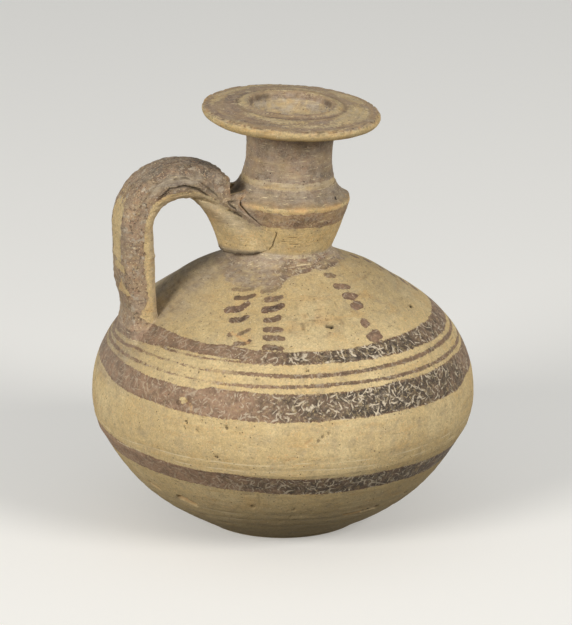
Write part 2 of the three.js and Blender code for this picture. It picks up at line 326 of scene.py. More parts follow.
def gap_to(points, line):
    """The distance from each point to a line of straight stretches."""
    line = np.asarray(line, float)
    best = np.full(points.shape[:-1], np.inf)
    for start, end in zip(line, line[1:]):
        along = end - start
        share = np.clip((points - start) @ along / (along @ along), 0, 1)
        gap = np.linalg.norm(points - start - share[..., None] * along, axis=-1)
        best = np.minimum(best, gap)
    return best


def gap_from(points, spot):
    """The distance from each point to one spot."""
    return np.linalg.norm(points - spot, axis=-1)


def pressed(gap, width, depth):
    """How deep a mark is at a gap from its middle."""
    return depth * np.exp(-((gap / width) ** 4))


# Pits in the body: bearing, height, radius, depth
BODY_PITS = (
    (-33.0, 42.1, 0.55, 0.8), (-30.1, 42.8, 0.6, 0.9), (-29.3, 38.0, 0.5, 0.6), (-24.4, 38.9, 0.45, 0.5),
    (-25.6, 36.4, 0.4, 0.5), (-29.7, 36.6, 0.4, 0.5), (-19.5, 30.3, 0.5, 0.7), (-10.4, 15.4, 0.5, 0.6),
    (11.8, 36.0, 0.6, 0.35), (13.5, 36.8, 0.5, 0.35), (10.4, 35.2, 0.45, 0.3), (20.4, 57.5, 0.4, 0.5),
    (9.5, 58.5, 0.4, 0.7), (3.3, 55.4, 0.4, 0.7), (-34.5, 58.2, 0.3, 0.4), (8.4, 51.0, 0.5, 0.7),
    (-28.7, 49.4, 0.4, 0.6), (-16.5, 38.0, 0.65, 0.45), (-37.0, 43.7, 0.4, 0.5), (-19.2, 49.2, 0.3, 0.4),
    (-44.5, 48.1, 0.35, 0.4), (-37.0, 48.1, 0.4, 0.4), (52.8, 13.1, 0.4, 0.5), (140.0, 47.0, 0.6, 0.6),
    (-150.0, 40.0, 0.5, 0.6), (170.0, 33.0, 0.6, 0.5), (-120.0, 18.0, 0.7, 0.6), (125.0, 58.0, 0.5, 0.6),
)
# Gouges in the body: bearings and heights of both ends, width, depth, and how much fresh clay shows
BODY_GOUGES = (
    (-40.2, 14.5, -35.0, 13.2, 0.8, 0.75, 0.7),
    (-39.4, 14.8, -37.7, 14.4, 0.65, 1.5, 0.0),
    (-53.0, 16.5, -49.8, 15.2, 0.55, 0.5, 0.6),
    (33.2, 11.2, 39.6, 11.5, 0.4, 0.8, 0.0),
    (25.0, 10.9, 33.0, 11.2, 0.3, 0.2, 0.7),
    (-29.0, 42.3, -28.0, 41.7, 0.22, 0.2, 0.7),
    (-28.0, 41.7, -27.9, 40.4, 0.24, 0.25, 0.7),
    (-21.8, 57.3, -13.6, 55.9, 0.3, 0.2, 0.7),
    (20.6, 58.5, 22.4, 58.35, 0.42, 0.9, 0.0),
    (72.6, 57.4, 74.6, 57.3, 0.4, 0.7, 0.0),
    (6.5, 34.6, 8.5, 35.6, 0.3, 0.2, 0.5),
    (0.6, 30.2, 3.4, 31.2, 0.25, 0.14, 0.4),
    (66.0, 62.4, 96.0, 62.5, 0.22, 0.2, 0.0),
    (65.0, 63.8, 82.0, 63.6, 0.2, 0.15, 0.0),
    (-7.9, 15.6, -7.9, 19.8, 0.25, 0.12, 0.0),
    (150.0, 50.0, 158.0, 48.0, 0.5, 0.4, 0.6),
    (-140.0, 28.0, -133.0, 30.0, 0.6, 0.4, 0.7),
)
TURNED_LINES = (7.6, 10.0, 12.4, 27.4, 29.2)
TURNED_LINE_DEPTH = 0.07
TURNED_LINE_WIDTH = 0.5
# Where the shoulder is pitted most: bearing, height, and how far round and up it reaches
PITTED = (16.0, 60.0, 14.0, 2.6)
# The shoulder is fuller at its two sides: bearing, radius, how far it reaches and how much it stands out
FULLER = (93.0, 22.5, 6.0, 1.0)
# Lumps in the skins of the body and the neck: how high, cell and seed
BODY_LUMPS = ((0.15, 19.0, 1), (0.06, 6.0, 2), (0.025, 1.7, 3))
NECK_LUMPS = ((0.13, 9.0, 11), (0.05, 2.6, 12), (0.02, 0.9, 13))


def body_relief(points):
    """How far the body's skin stands out, its painted dirt and shade, and how much fresh clay shows."""
    bearing, radius, height = place_of(points)
    low = step_up(height, 40.0, 18.0)
    turning = (0.02 + 0.03 * low) * noise(around(bearing, height, 6.0), 0.9, 4)
    pitted = bell(bearing - PITTED[0], PITTED[2]) * bell(height - PITTED[1], PITTED[3])
    amount = 0.5 + 0.5 * noise(points, 14.0, 6) + 0.6 * pitted
    pocks = np.clip(noise(points, 1.25, 5) - 0.62 + 0.1 * pitted, 0, None) * amount
    side, middle, reach, rise = FULLER
    aside = np.cos(np.radians(bearing - side)) ** 2 * (height > BELLY_HEIGHT)
    fuller = rise * aside * bell(radius - middle, reach)
    relief = layered(points, *BODY_LUMPS) + turning + fuller - 0.7 * pocks
    grit = 0.45 * pitted * step_up(noise(points, 0.6, 9), 0.45, 0.6)
    hollow = np.maximum(np.clip(pocks * 1.5, 0, 0.5), grit)
    fresh = 0.25 * pitted * step_up(noise(points, 1.7, 10), -0.1, 0.5)
    for line in TURNED_LINES:
        wander = line + 0.35 * noise(around(bearing, 0 * height, 9.0), 5.0, line)
        relief -= pressed(height - wander, TURNED_LINE_WIDTH, TURNED_LINE_DEPTH)
    ragged = 1 + 0.35 * noise(points, 0.9, 7)
    for pit_bearing, pit_height, width, depth in BODY_PITS:
        relief -= pressed(gap_from(points, on_body(pit_bearing, pit_height)) * ragged, width, depth)
    ragged = 1 + 0.3 * noise(points, 1.1, 8)
    for from_bearing, from_height, to_bearing, to_height, width, depth, share in BODY_GOUGES:
        ends = [on_body(from_bearing, from_height), on_body(to_bearing, to_height)]
        mark = pressed(gap_to(points, ends) * ragged, width, depth)
        relief -= mark
        fresh = np.maximum(fresh, share * np.clip(mark / depth, 0, 1))
        hollow = np.maximum(hollow, (1 - share) * mark * 1.6)
    relief *= step_up(height, 0.1, 2.0)
    return relief, np.clip(hollow, 0, 1), fresh


# Cracks in the cup: bearings and heights along each, width and depth
CUP_CRACKS = (
    (((-10.0, 6.8), (-11.0, 5.6), (-13.5, 4.2), (-15.0, 3.0), (-19.0, 2.0)), 0.15, 0.3),
    (((-8.0, 5.7), (4.0, 5.8), (12.0, 5.9)), 0.07, 0.08),
    (((-4.0, 4.6), (9.0, 4.7), (20.0, 5.0)), 0.08, 0.1),
    (((4.0, 3.9), (14.0, 3.9)), 0.07, 0.08),
    (((10.0, 6.5), (28.0, 6.8)), 0.07, 0.08),
    (((-12.0, 10.9), (4.0, 11.0), (14.0, 11.1)), 0.07, 0.08),
    (((-6.0, 9.8), (12.0, 9.9)), 0.07, 0.08),
)
# Small holes in the neck: bearing, height, radius
NECK_HOLES = (
    (58.0, 14.7, 0.42), (59.5, 14.9, 0.3), (-24.0, 21.0, 0.25), (20.0, 19.4, 0.2), (140.0, 9.0, 0.5),
)
# Painted shadow in the pocket behind the strap's broken end: height, reach and how dark it is
NOTCH = (14.9, 1.9, 0.65)


def neck_marks(line):
    """A line of marks on the neck, from bearings and heights to points."""
    bearings, heights = np.array(line).T
    return on_neck(bearings, heights)


def neck_relief(points):
    """The same as body_relief for the neck, in the neck's own frame."""
    bearing, _, height = place_of(points)
    turning = 0.035 * noise(around(bearing, height, 3.0), 0.55, 14)
    ridge = bell(height - CUP_HEIGHT + 0.4, 0.9)
    worn = ridge * np.clip(noise(points, 1.6, 15), 0, None) * 0.3
    relief = layered(points, *NECK_LUMPS) + turning - worn
    hollow = np.zeros(len(points))
    lip = bell(height - CUP_HEIGHT + 0.9, 0.6) * step_up(noise(points, 2.4, 17), -0.3, 0.4)
    fresh = np.clip(worn * 1.5 + 0.4 * lip, 0, 0.6)
    ragged = 1 + 0.3 * noise(points, 0.8, 16)
    for crack, width, depth in CUP_CRACKS:
        mark = pressed(gap_to(points, neck_marks(crack)) * ragged, width, depth)
        relief -= mark
        hollow = np.maximum(hollow, 0.6 * mark / depth)
    # Painted shadow in the pocket behind the strap's broken end
    notch_height, notch_reach, notch_dark = NOTCH
    gap = gap_from(points, on_neck(HANDLE_BEARING, notch_height))
    hollow = np.maximum(hollow, pressed(gap, notch_reach, notch_dark))
    return relief, np.clip(hollow, 0, 1), fresh


# Paint

# How far outside the paint bare clay counts as, and how far from an edge two paints pass into each other
BARE = -5.0
EDGE_REACH = 3.0


class Paint:
    """A piece's skin, point by point.

    edge is how far inside the paint a point is. coat, tone and wear are how thick, dark and worn it is.
    film is the dust on it, with painted shade and painted highlights in a few places.
    hollow is how dark its hollows, cracks and shaded corners are painted, as dirt and painted shade,
    and fresh is how freshly broken the clay is.
    """

    FIELDS = ("edge", "coat", "tone", "wear", "film", "hollow", "fresh")

    def __init__(self, count):
        for field in self.FIELDS:
            setattr(self, field, np.zeros(count))
        self.edge += BARE
        self.coat += 1

    def lay(self, edge, coat, tone, wear):
        """Lays paint where edge, the distance inside its outline, is the greatest so far."""
        over = edge > self.edge
        for field, values in zip(self.FIELDS, (edge, coat, tone, wear)):
            setattr(self, field, np.where(over, values, getattr(self, field)))

    def spare(self, edge):
        """Leaves a place free of paint."""
        self.edge = np.minimum(self.edge, -edge)

    def lay_dust_and_light(self, amount):
        """Lays a soft grey film: dust in most places, painted shade and painted highlights in a few."""
        self.film = np.maximum(self.film, np.clip(amount, 0, 1))

    def widen(self, before, after):
        """Adds bare points before and after the others."""
        for field in self.FIELDS:
            bare = BARE if field == "edge" else 0.0
            setattr(self, field, np.pad(getattr(self, field), (before, after), constant_values=bare))

    def passing_to(self, other, weight):
        """Paint that passes into another where the weight is 1."""
        mixed = Paint(len(weight))
        for field in self.FIELDS:
            near, far = (np.clip(getattr(side, field), -EDGE_REACH, EDGE_REACH) for side in (self, other))
            setattr(mixed, field, (1 - weight) * near + weight * far)
        return mixed


# Heights of the painted edges round the body, low and high, at these bearings
EDGE_BEARINGS = (-180, -120, -84, -70, -60, -50, -42, -27, -23, -10, 0, 20, 40, 66, 76, 130)
LOWER_BAND = (
    (20.6, 22.0, 22.9, 22.7, 22.3, 22.1, 21.8, 21.2, 21.0, 20.5, 20.2, 19.8, 19.6, 19.3, 19.2, 19.6),
    (25.6, 27.2, 28.2, 28.0, 27.5, 27.1, 26.8, 26.3, 26.2, 25.7, 25.3, 24.7, 24.4, 23.5, 23.3, 24.2),
)
WIDE_BAND = (
    (40.6, 42.4, 43.3, 42.6, 41.5, 40.9, 40.9, 40.3, 40.1, 39.9, 39.7, 39.9, 39.5, 38.9, 40.2, 40.2),
    (46.4, 46.8, 47.0, 47.0, 46.6, 46.3, 46.2, 45.8, 46.8, 46.3, 46.1, 46.0, 46.1, 46.0, 45.9, 46.1),
)
SHOULDER_BAND = (
    (51.6, 51.2, 50.6, 51.9, 51.7, 52.2, 53.0, 53.0, 52.9, 52.4, 52.1, 51.9, 51.6, 51.2, 51.1, 51.3),
    (54.6, 55.0, 55.3, 55.2, 55.2, 55.2, 55.0, 54.9, 55.2, 54.6, 54.4, 54.2, 54.4, 54.4, 54.4, 54.5),
)
# Fine lines: their heights and half widths at the same bearings
FINE_LINES = (
    ((49.9, 49.6, 49.7, 50.1, 50.3, 50.3, 50.3, 50.1, 50.1, 50.1, 49.8, 49.7, 49.8, 49.8, 49.7, 49.8),
     (0.40, 0.60, 0.72, 0.45, 0.26, 0.24, 0.15, 0.20, 0.30, 0.40, 0.40, 0.42, 0.40, 0.42, 0.40, 0.40)),
    ((47.6, 47.9, 48.1, 48.2, 48.2, 48.2, 48.1, 47.8, 47.8, 47.7, 47.7, 47.7, 47.3, 47.2, 47.2, 47.5),
     (0.40, 0.40, 0.40, 0.34, 0.28, 0.24, 0.20, 0.18, 0.24, 0.38, 0.38, 0.38, 0.38, 0.38, 0.38, 0.38)),
    ((52.2, 52.2, 52.2, 52.2, 52.2, 52.3, 52.3, 52.2, 52.2, 52.2, 52.1, 51.9, 51.6, 51.2, 51.1, 51.3),
     (-0.5, -0.5, -0.5, -0.5, -0.3, 0.16, 0.22, 0.22, 0.22, 0.24, 0.10, -0.5, -0.5, -0.5, -0.5, -0.5)),
)
# Where the fine lines are broken
BROKEN_BEARINGS = (-60.0, -48.0, -22.0, -12.0)
# How dark the paint is round the pot; the lower band's tones on the lower left are also set lighter as
# painted light
TONE_BEARINGS = (-180, -130, -84, -60, -28, -8, 8, 30, 62, 95, 140, 180)
BAND_TONES = (0.6, 0.45, 0.34, 0.3, 0.18, 0.28, 0.9, 1.2, 0.75, 0.4, 0.5, 0.6)
LOWER_BAND_TONES = (0.6, 0.4, 0.1, 0.05, 0.25, 0.68, 0.9, 1.0, 0.8, 0.5, 0.5, 0.6)
BAND_WEARS = (0.6, 0.5, 0.4, 0.35, 0.4, 0.65, 1.0, 1.1, 0.85, 0.4, 0.5, 0.6)
# Dashes on the shoulder: bearing and height of both ends, half their height and how thick the paint is
DASHES = (
    (-35.7, 64.0, -19.0, 64.6, 0.66, 0.60),
    (-30.0, 62.8, -16.6, 63.6, 0.76, 0.90),
    (-31.4, 60.8, -17.7, 62.2, 1.12, 1.00),
    (-26.0, 59.3, -15.9, 60.2, 0.92, 0.95),
    (-23.4, 57.0, -13.6, 58.1, 0.70, 0.75),
    (-19.4, 55.5, -12.0, 56.2, 0.70, 0.90),
    (-15.5, 64.4, 0.0, 65.3, 0.70, 0.60),
    (-11.7, 63.1, 0.9, 63.7, 0.95, 0.90),
    (-11.7, 61.5, 2.1, 62.3, 1.14, 1.00),
    (-9.5, 59.8, 0.3, 60.4, 1.00, 0.95),
    (-9.0, 58.3, 0.6, 58.3, 0.95, 0.95),
    (-8.2, 56.9, 1.4, 56.8, 0.98, 0.90),
    (-7.9, 55.2, 1.1, 55.1, 0.90, 0.95),
    (36.5, 66.3, 48.0, 66.0, 1.10, 0.75),
    (36.5, 64.2, 49.2, 63.7, 1.15, 0.95),
    (37.0, 62.4, 48.2, 62.2, 1.42, 1.00),
    (36.5, 60.7, 46.0, 60.9, 1.65, 1.00),
    (35.6, 57.8, 41.3, 58.1, 1.40, 1.00),
    (34.7, 55.4, 43.3, 55.7, 1.80, 1.00),
)
# Columns of dashes that run over the far side
FAR_DASH_BEARINGS = (104.0, 151.0, 169.0, -132.0)
FAR_DASH_HEIGHTS = (65.5, 63.8, 62.0, 60.3, 58.5, 56.8)
FAR_DASH = (4.4, 0.3, 1.05, 0.95)
DASH_WEAR = 0.35
# How dark the dashes are at some bearings
DASH_TONES = ((-40, 10, 30, 60, 100), (0.55, 0.55, 0.34, 0.32, 0.4))


def edge_height(bearing, heights):
    """The height of a painted edge at a bearing."""
    return np.interp(bearing, EDGE_BEARINGS, heights, period=360)


def slope_share(height):
    """Distance along the skin for each step of height."""
    rise = np.gradient(body_line[:, 0]) / np.maximum(np.gradient(body_line[:, 1]), 1e-6)
    return np.interp(height, body_line[:, 1], np.minimum(np.hypot(1, rise), 2.0))


def band(paint, points, edges, seed, tone, wear):
    """A band of paint between two edges, both brushed by hand."""
    bearing, _, height = place_of(points)
    turn = around(bearing, 0 * height, 30.0)
    lower, upper = (edge_height(bearing, edge) for edge in edges)
    lower = lower + 0.16 * noise(turn, 5.0, seed) + 0.12 * noise(turn, 1.6, seed + 1)
    upper = upper + 0.16 * noise(turn, 5.0, seed + 2) + 0.12 * noise(turn, 1.6, seed + 3)
    paint.lay(np.minimum(height - lower, upper - height) * slope_share(height), 0.95, tone, wear)


def paint_fine_lines(paint, points, tone, wear):
    """The fine lines between the two upper bands, broad at the handle and broken beyond it."""
    bearing, _, height = place_of(points)
    turn = around(bearing, 0 * height, 30.0)
    broken = between(bearing, *BROKEN_BEARINGS)
    for place, (heights, halves) in enumerate(FINE_LINES):
        middle = edge_height(bearing, heights) + 0.08 * noise(turn, 4.0, 40 + place)
        half = edge_height(bearing, halves) + 0.1 * noise(turn, 1.3, 44 + place)
        edge = (half - abs(height - middle)) * slope_share(height)
        gone = broken * step_up(noise(points, 1.5, 47 + place), -0.3, 0.4)
        paint.lay(edge, 0.9 - 0.55 * gone, tone * 0.6 + 0.15, wear * 0.4 + 0.4 * broken)


def all_dashes():
    """The dashes that are seen, and the like on the far side."""
    turn, rise, half, coat = FAR_DASH
    places = itertools.product(FAR_DASH_BEARINGS, FAR_DASH_HEIGHTS)
    return DASHES + tuple((b - turn, h, b + turn, h + rise, half, coat) for b, h in places)


def paint_dashes(paint, points):
    """Brushed dashes that thin out and rise at their right ends."""
    tone = np.interp(place_of(points)[0], DASH_TONES[0], DASH_TONES[1]) + 0.15 * noise(points, 2.0, 57)
    for place, (from_bearing, from_height, to_bearing, to_height, half, coat) in enumerate(all_dashes()):
        length = to_bearing - from_bearing
        drawn_in = min(math.degrees(half / float(body_radius(from_height))), 0.45 * length)
        bearings = from_bearing + np.array([drawn_in, 0.6 * length, length - drawn_in])
        line = on_body(bearings, from_height + (to_height - from_height) * np.array([0.0, 0.3, 1.0]))
        near = np.linalg.norm(points - line[1], axis=-1) < 9.0
        spots = points[near]
        along = np.linalg.norm(spots - line[0], axis=-1) / np.linalg.norm(line[2] - line[0])
        ragged = half * (1.08 - 0.3 * np.clip(along, 0, 1) + 0.2 * noise(spots, 1.1, place))
        edge = np.full(len(points), -9.0)
        edge[near] = ragged - gap_to(spots, line)
        paint.lay(edge, coat, tone, DASH_WEAR)


# Worn places in the body's paint: bearing, height and radius
WORN_SPOTS = ((-31.4, 42.8, 0.95), (-2.0, 62.9, 0.5), (-20.5, 57.2, 0.6))
# How low the smears round the neck's foot come, and the bearings where they come lower and are darker
SMEAR_HEIGHTS = (64.7, 66.3)
SMEAR_LOWER = (-64.0, -44.0, -8.0, 8.0)
SMEAR_DARKER = (-18.0, 6.0, 55.0, 75.0)
DUST_BEARINGS = (-178.0, -120.0, 120.0, 178.0)
# Dust on the body's sides, also painted shade on the left by the handle and on the right: bearings and
# heights that it sets in between, how much and how uneven it is
SIDE_DUST_AND_SHADE = (
    ((-62.0, -84.0), (55.0, 59.0), 0.6, 0.2),
    ((-34.0, -64.0), (55.0, 59.0), 0.5, 0.25),
    ((40.0, 85.0), (55.0, 59.0), 0.08, 0.1),
    ((-46.0, -66.0), (39.0, 42.0), 0.45, 0.3),
)


def scrapes(points):
    """Level scrapes round the body."""
    bearing, _, height = place_of(points)
    return noise(around(bearing, height * 3, 8.0), 1.2, 54)


def smear(paint, points, inside):
    """Flaked paint under dust round the neck's foot, where inside is positive."""
    aside = between(place_of(points)[0], *SMEAR_DARKER)
    flaked = 0.35 * scrapes(points) + 0.35 * noise(points, 0.8, 58)
    paint.lay(inside, 0.4 + 0.45 * aside + flaked, 0.2 + 0.2 * noise(points, 4.0, 52) + 0.3 * aside, 1.0)
    paint.film = paint.film * (1 - 0.55 * aside * step_up(inside, -0.2, 0.2))


def smudge(paint, points):
    """Grey smears round the neck's foot, and dust on the sides of the shoulder that is partly painted
    shade.
    """
    bearing, _, height = place_of(points)
    ragged = layered(points, (1.0, 4.0, 52), (0.45, 1.4, 53))
    scrape = scrapes(points)
    front = between(bearing, *SMEAR_LOWER)
    low = SMEAR_HEIGHTS[1] - (SMEAR_HEIGHTS[1] - SMEAR_HEIGHTS[0]) * front + step_up(bearing, -10.0, 20.0)
    ring = step_up(height + 0.55 * ragged, low - 0.6, low + 0.9)
    paint.lay_dust_and_light(ring * (0.5 + 0.2 * front + 0.35 * scrape + 0.35 * noise(points, 0.8, 58)))
    smear(paint, points, 2.0 * (ring - 0.5))
    fading = between(bearing, *DUST_BEARINGS)
    for bearings, heights, amount, uneven in SIDE_DUST_AND_SHADE:
        there = fading * step_up(bearing, *bearings) * step_up(height, *heights)
        paint.lay_dust_and_light(there * (amount + uneven * ragged))
    # Grey film low on the body: dust, and painted shade darkening it towards the foot
    paint.lay_dust_and_light(step_up(height, 22.0, 6.0) * (0.12 + 0.12 * scrape))


def paint_body(points):
    """The body's bands, lines, dashes and smears."""
    paint = Paint(len(points))
    bearing = place_of(points)[0]
    tones = (BAND_TONES, LOWER_BAND_TONES, BAND_WEARS)
    tone, lower_tone, wear = (np.interp(bearing, TONE_BEARINGS, values) for values in tones)
    patchy = np.clip(tone + 0.15 * noise(points, 9.0, 51), 0, 1.3)
    band(paint, points, LOWER_BAND, 20, lower_tone + patchy - tone, wear * 0.85)
    band(paint, points, WIDE_BAND, 24, patchy, wear)
    band(paint, points, SHOULDER_BAND, 28, patchy, wear)
    paint_fine_lines(paint, points, tone, wear)
    paint_dashes(paint, points)
    for spot_bearing, spot_height, reach in WORN_SPOTS:
        gap = gap_from(points, on_body(spot_bearing, spot_height))
        paint.spare(reach - gap + 0.4 * noise(points, 0.9, 55))
    smudge(paint, points)
    return paint


# The neck's paint, in heights up the neck
RIDGE_BAND = (8.4, 12.5)
BAND_TURN = 33.0
SLOPE_BAND = (13.55, 17.2)
TUBE_WASH = (18.9, 33.2)
TUBE_LINE = 23.5
CUP_FOOT_FILM = 1.3


def turn_from(start, bearing):
    """The turn from one bearing to another, from -180 to 180."""
    return (bearing - start + 180) % 360 - 180


def paint_neck(points):
    """The neck's band, washes and bare ring."""
    paint = Paint(len(points))
    bearing, _, height = place_of(points)
    turn = around(bearing, 0 * height, 12.0)
    from_handle = turn_from(HANDLE_BEARING, bearing)
    wander = layered(turn, (0.24, 6.0, 61), (0.16, 1.5, 62))
    streak = noise(around(bearing, height, 4.0), 1.1, 63)
    band_edge = np.minimum(height - RIDGE_BAND[0] - wander, RIDGE_BAND[1] + 2 * wander - height)
    beyond = (abs(from_handle) - BAND_TURN - 2.2 * (12 - height)) * 0.25
    paint.lay(np.minimum(band_edge, beyond), 0.84 + 0.25 * streak, 0.3 + 0.25 * streak, 0.75)
    slope_edge = np.minimum(height - SLOPE_BAND[0] - wander * 0.7, SLOPE_BAND[1] + wander * 0.5 - height)
    paint.lay(slope_edge, 0.55 + 0.15 * streak, 0.8, 0.6)
    tube_edge = np.minimum(height - TUBE_WASH[0] + wander * 0.6, TUBE_WASH[1] - height)
    shade = 0.55 + 0.15 * noise(points, 6.0, 64) + 0.12 * streak
    line = 1 - 0.4 * bell(height - TUBE_LINE, 0.25)
    paint.lay(tube_edge, (0.74 + 0.28 * streak) * line, shade, 0.5)
    dusty = step_up(height, CUP_HEIGHT - 0.4, CUP_HEIGHT + 0.6)
    sloping = dusty * step_up(height, SLOPE_TOP_HEIGHT + 0.4, SLOPE_TOP_HEIGHT - 0.6)
    paint.lay_dust_and_light(dusty * (0.5 + 0.2 * streak + 0.15 * noise(points, 3.0, 66)) + 0.15 * sloping)
    foot = step_up(height + 0.5 * noise(turn, 3.5, 65), CUP_FOOT_FILM + 0.7, CUP_FOOT_FILM - 0.7)
    paint.lay_dust_and_light(foot * (0.75 + 0.3 * streak))
    luted = step_up(abs(from_handle) - 2.5 * (12 - height), 46.0, 30.0) * step_up(from_handle, 8.0, 22.0)
    paint.lay_dust_and_light(luted * step_up(height, 6.5, 9.0) * (0.75 + 0.2 * streak))
    return paint


# Pale brushed patches on the rim: bearing, radius, half the turn they cover and half their width
RIM_PATCHES = (
    (72.0, 16.4, 32.0, 3.0), (-14.0, 15.2, 26.0, 1.1), (-38.0, 14.3, 15.0, 1.0), (20.0, 18.2, 18.0, 0.7),
    (-118.0, 18.6, 30.0, 1.3), (128.0, 18.4, 18.0, 1.9), (-160.0, 19.6, 26.0, 0.8),
    (170.0, 15.3, 20.0, 0.9),
)
RIM_PALE_RING = (11.0, 13.1)
MOUTH_PAINT_HEIGHT = 34.0
RIM_EDGE_RADIUS = 21.55
RIM_SOFTNESS = 0.3


def paint_rim(points):
    """Brushed paint on the rim's top and in the mouth, and a bare edge."""
    paint = Paint(len(points))
    bearing, radius, height = place_of(points)
    ragged = layered(points, (0.3, 2.4, 71), (0.25, 0.9, 72))
    brush = noise(around(bearing, radius * 2.2, 5.0), 1.6, 73)
    top = np.where(height > RIM_TOP_HEIGHT - 1.2, 1.0, -1.0)
    mouth = np.where(radius < MOUTH_RADIUS + 0.3, height - MOUTH_PAINT_HEIGHT + 2 * ragged, 1.0)
    edge = np.minimum.reduce([top, RIM_EDGE_RADIUS - radius + ragged, mouth])
    dark = 0.5 + 0.3 * noise(points, 7.0, 74) + 0.25 * brush
    paint.lay(edge, 0.72 + 0.32 * brush, dark, 0.6)
    paint.lay_dust_and_light(top * (0.28 + 0.25 * brush))
    # Grey film inside the mouth: dust, and painted shade down into it
    inside = step_up(MOUTH_RADIUS + 0.6 - radius, 0.0, 0.8)
    paint.lay_dust_and_light(inside * (0.4 + 0.6 * step_up(noise(points, 1.1, 70), -0.4, 0.5)))
    for patch_bearing, patch_radius, half_turn, half_width in RIM_PATCHES:
        turn = turn_from(patch_bearing, bearing)
        spread = np.hypot(turn / half_turn, (radius - patch_radius) / half_width)
        paint.spare((1 - spread) * half_width + 1.3 * ragged + 0.3 * brush)
    ring = np.minimum(radius - RIM_PALE_RING[0], RIM_PALE_RING[1] - radius) + 0.9 * ragged + 0.7 * brush
    ring = ring - 1.3 * step_up(np.cos(np.radians(bearing + 8.0)), 0.35, 0.85)
    paint.spare(np.where(height > RIM_TOP_HEIGHT - 0.8, ring, BARE))
    paint.edge = np.where(top > 0, paint.edge * RIM_SOFTNESS, paint.edge)
    return paint


# Meshes

def skin_normals(points):
    """Outward normals of a grid of rows and columns that closes round its columns."""
    across = np.roll(points, -1, axis=1) - np.roll(points, 1, axis=1)
    return unit(np.cross(across, np.gradient(points, axis=0)))


def lifted(grid, relief, outward):
    """The grid with its points moved along its normals, on the side that outward points to."""
    normals = skin_normals(grid)
    side = np.sign((normals * outward).sum())
    return grid + side * relief.reshape(grid.shape[:2])[..., None] * normals


def turned(outline, columns, from_neck=False):
    """The points of an outline turned round the body's axis, or round the neck's."""
    bearings = np.linspace(-180, 180, columns, endpoint=False)
    points = outline[:, 0][:, None, None] * heading(bearings)[None]
    points[..., 2] += outline[:, 1][:, None]
    return neck_to_pot(points) if from_neck else points


def pole_rows(grid):
    """True for a first and a last row that shrink to one point."""
    return [np.ptp(grid[end].reshape(-1, 3), axis=0).max() < 1e-6 for end in (0, -1)]


def grid_faces(rows, columns, closed):
    """Quads between rows, all the way round."""
    last = rows if closed else rows - 1
    row, column = np.meshgrid(np.arange(last), np.arange(columns), indexing="ij")
    next_row = (row + 1) % rows
    next_column = (column + 1) % columns
    corners = [row * columns + column, row * columns + next_column]
    corners += [next_row * columns + next_column, next_row * columns + column]
    return np.stack(corners, -1).reshape(-1, 4)


def shell(grid, closed):
    """Vertices, faces and face corners' places on a flat map for a grid."""
    rows, columns = grid.shape[:2]
    points = grid.reshape(-1, 3)
    faces = grid_faces(rows, columns, closed)
    run = np.linalg.norm(np.diff(grid, axis=0), axis=-1).mean(1)
    along = np.concatenate([[0], np.cumsum(run)])
    total = along[-1] + (np.linalg.norm(grid[0] - grid[-1], axis=-1).mean() if closed else 0)
    along = np.append(along, total) / total
    row, column = np.divmod(np.arange(len(faces)), columns)
    left = column / columns
    right = (column + 1) / columns
    low = along[row]
    high = along[row + 1]
    corners = np.stack([left, low, right, low, right, high, left, high], -1)
    return points, faces, corners.reshape(-1, 4, 2)


def signed_volume(points, faces):
    a, b, c, d = (points[faces[:, k]] for k in range(4))
    return (np.einsum("ij,ij->i", a, np.cross(b, c)) + np.einsum("ij,ij->i", a, np.cross(c, d))).sum()


SHARP_ANGLE = 48.0
MAP_NAME = "OFBake"


def merged_poles(mesh):
    """Joins the points that lie on one spot, where a row closes on the axis."""
    work = bmesh.new()
    work.from_mesh(mesh)
    bmesh.ops.remove_doubles(work, verts=work.verts, dist=1e-7)
    bmesh.ops.dissolve_degenerate(work, edges=work.edges, dist=1e-8)
    work.to_mesh(mesh)
    work.free()


def make_piece(name, grid, closed, paint, material):
    """A mesh object from a grid of points, with what its material reads."""
    points, faces, corners = shell(grid, closed)
    if signed_volume(points, faces) < 0:
        faces = faces[:, ::-1]
        corners = corners[:, ::-1]
    mesh = bpy.data.meshes.new(name)
    mesh.from_pydata(points * METRE, [], faces)
    mesh.uv_layers.new(name=MAP_NAME).data.foreach_set("uv", corners.astype(np.float32).ravel())
    for field in Paint.FIELDS:
        values = getattr(paint, field).astype(np.float32)
        mesh.attributes.new(field, "FLOAT", "POINT").data.foreach_set("value", values)
    if any(pole_rows(grid)):
        merged_poles(mesh)
    mesh.polygons.foreach_set("use_smooth", np.ones(len(mesh.polygons), bool))
    mesh.set_sharp_from_angle(angle=math.radians(SHARP_ANGLE))
    mesh.materials.append(material)
    piece = bpy.data.objects.new(name, mesh)
    bpy.context.scene.collection.objects.link(piece)
    return piece


def inset(line, distance):
    """An outline moved into the wall."""
    run = np.gradient(line, axis=0)
    run /= np.linalg.norm(run, axis=1, keepdims=True)
    return line + np.stack([-run[:, 1], run[:, 0]], 1) * distance


def unbent(points):
    return points


def turned_piece(name, seen, unseen, skin, material, closed=True, bend=unbent):
    """A turned piece whose seen outline carries the relief and paint, closed by an unseen one."""
    columns, from_neck, relief_of, paint_of = skin
    shown = turned(seen, columns, from_neck)
    flat = shown.reshape(-1, 3)
    spots = pot_to_neck(flat) if from_neck else flat
    paint = paint_of(spots)
    relief, paint.hollow, paint.fresh = relief_of(spots)
    shown = lifted(shown, relief, shown - flat.mean(0))
    paint.widen(0, len(unseen) * columns)
    grid = bend(np.concatenate([shown, turned(unseen, columns, from_neck)]))
    return make_piece(name, grid, closed, paint, material)


# Handle

FOOT_EXTENSION = 8.0
ROOT_EXTENSION = 5.0
STRAP_SINK = 0.9
STRAP_ROUND = 2.5


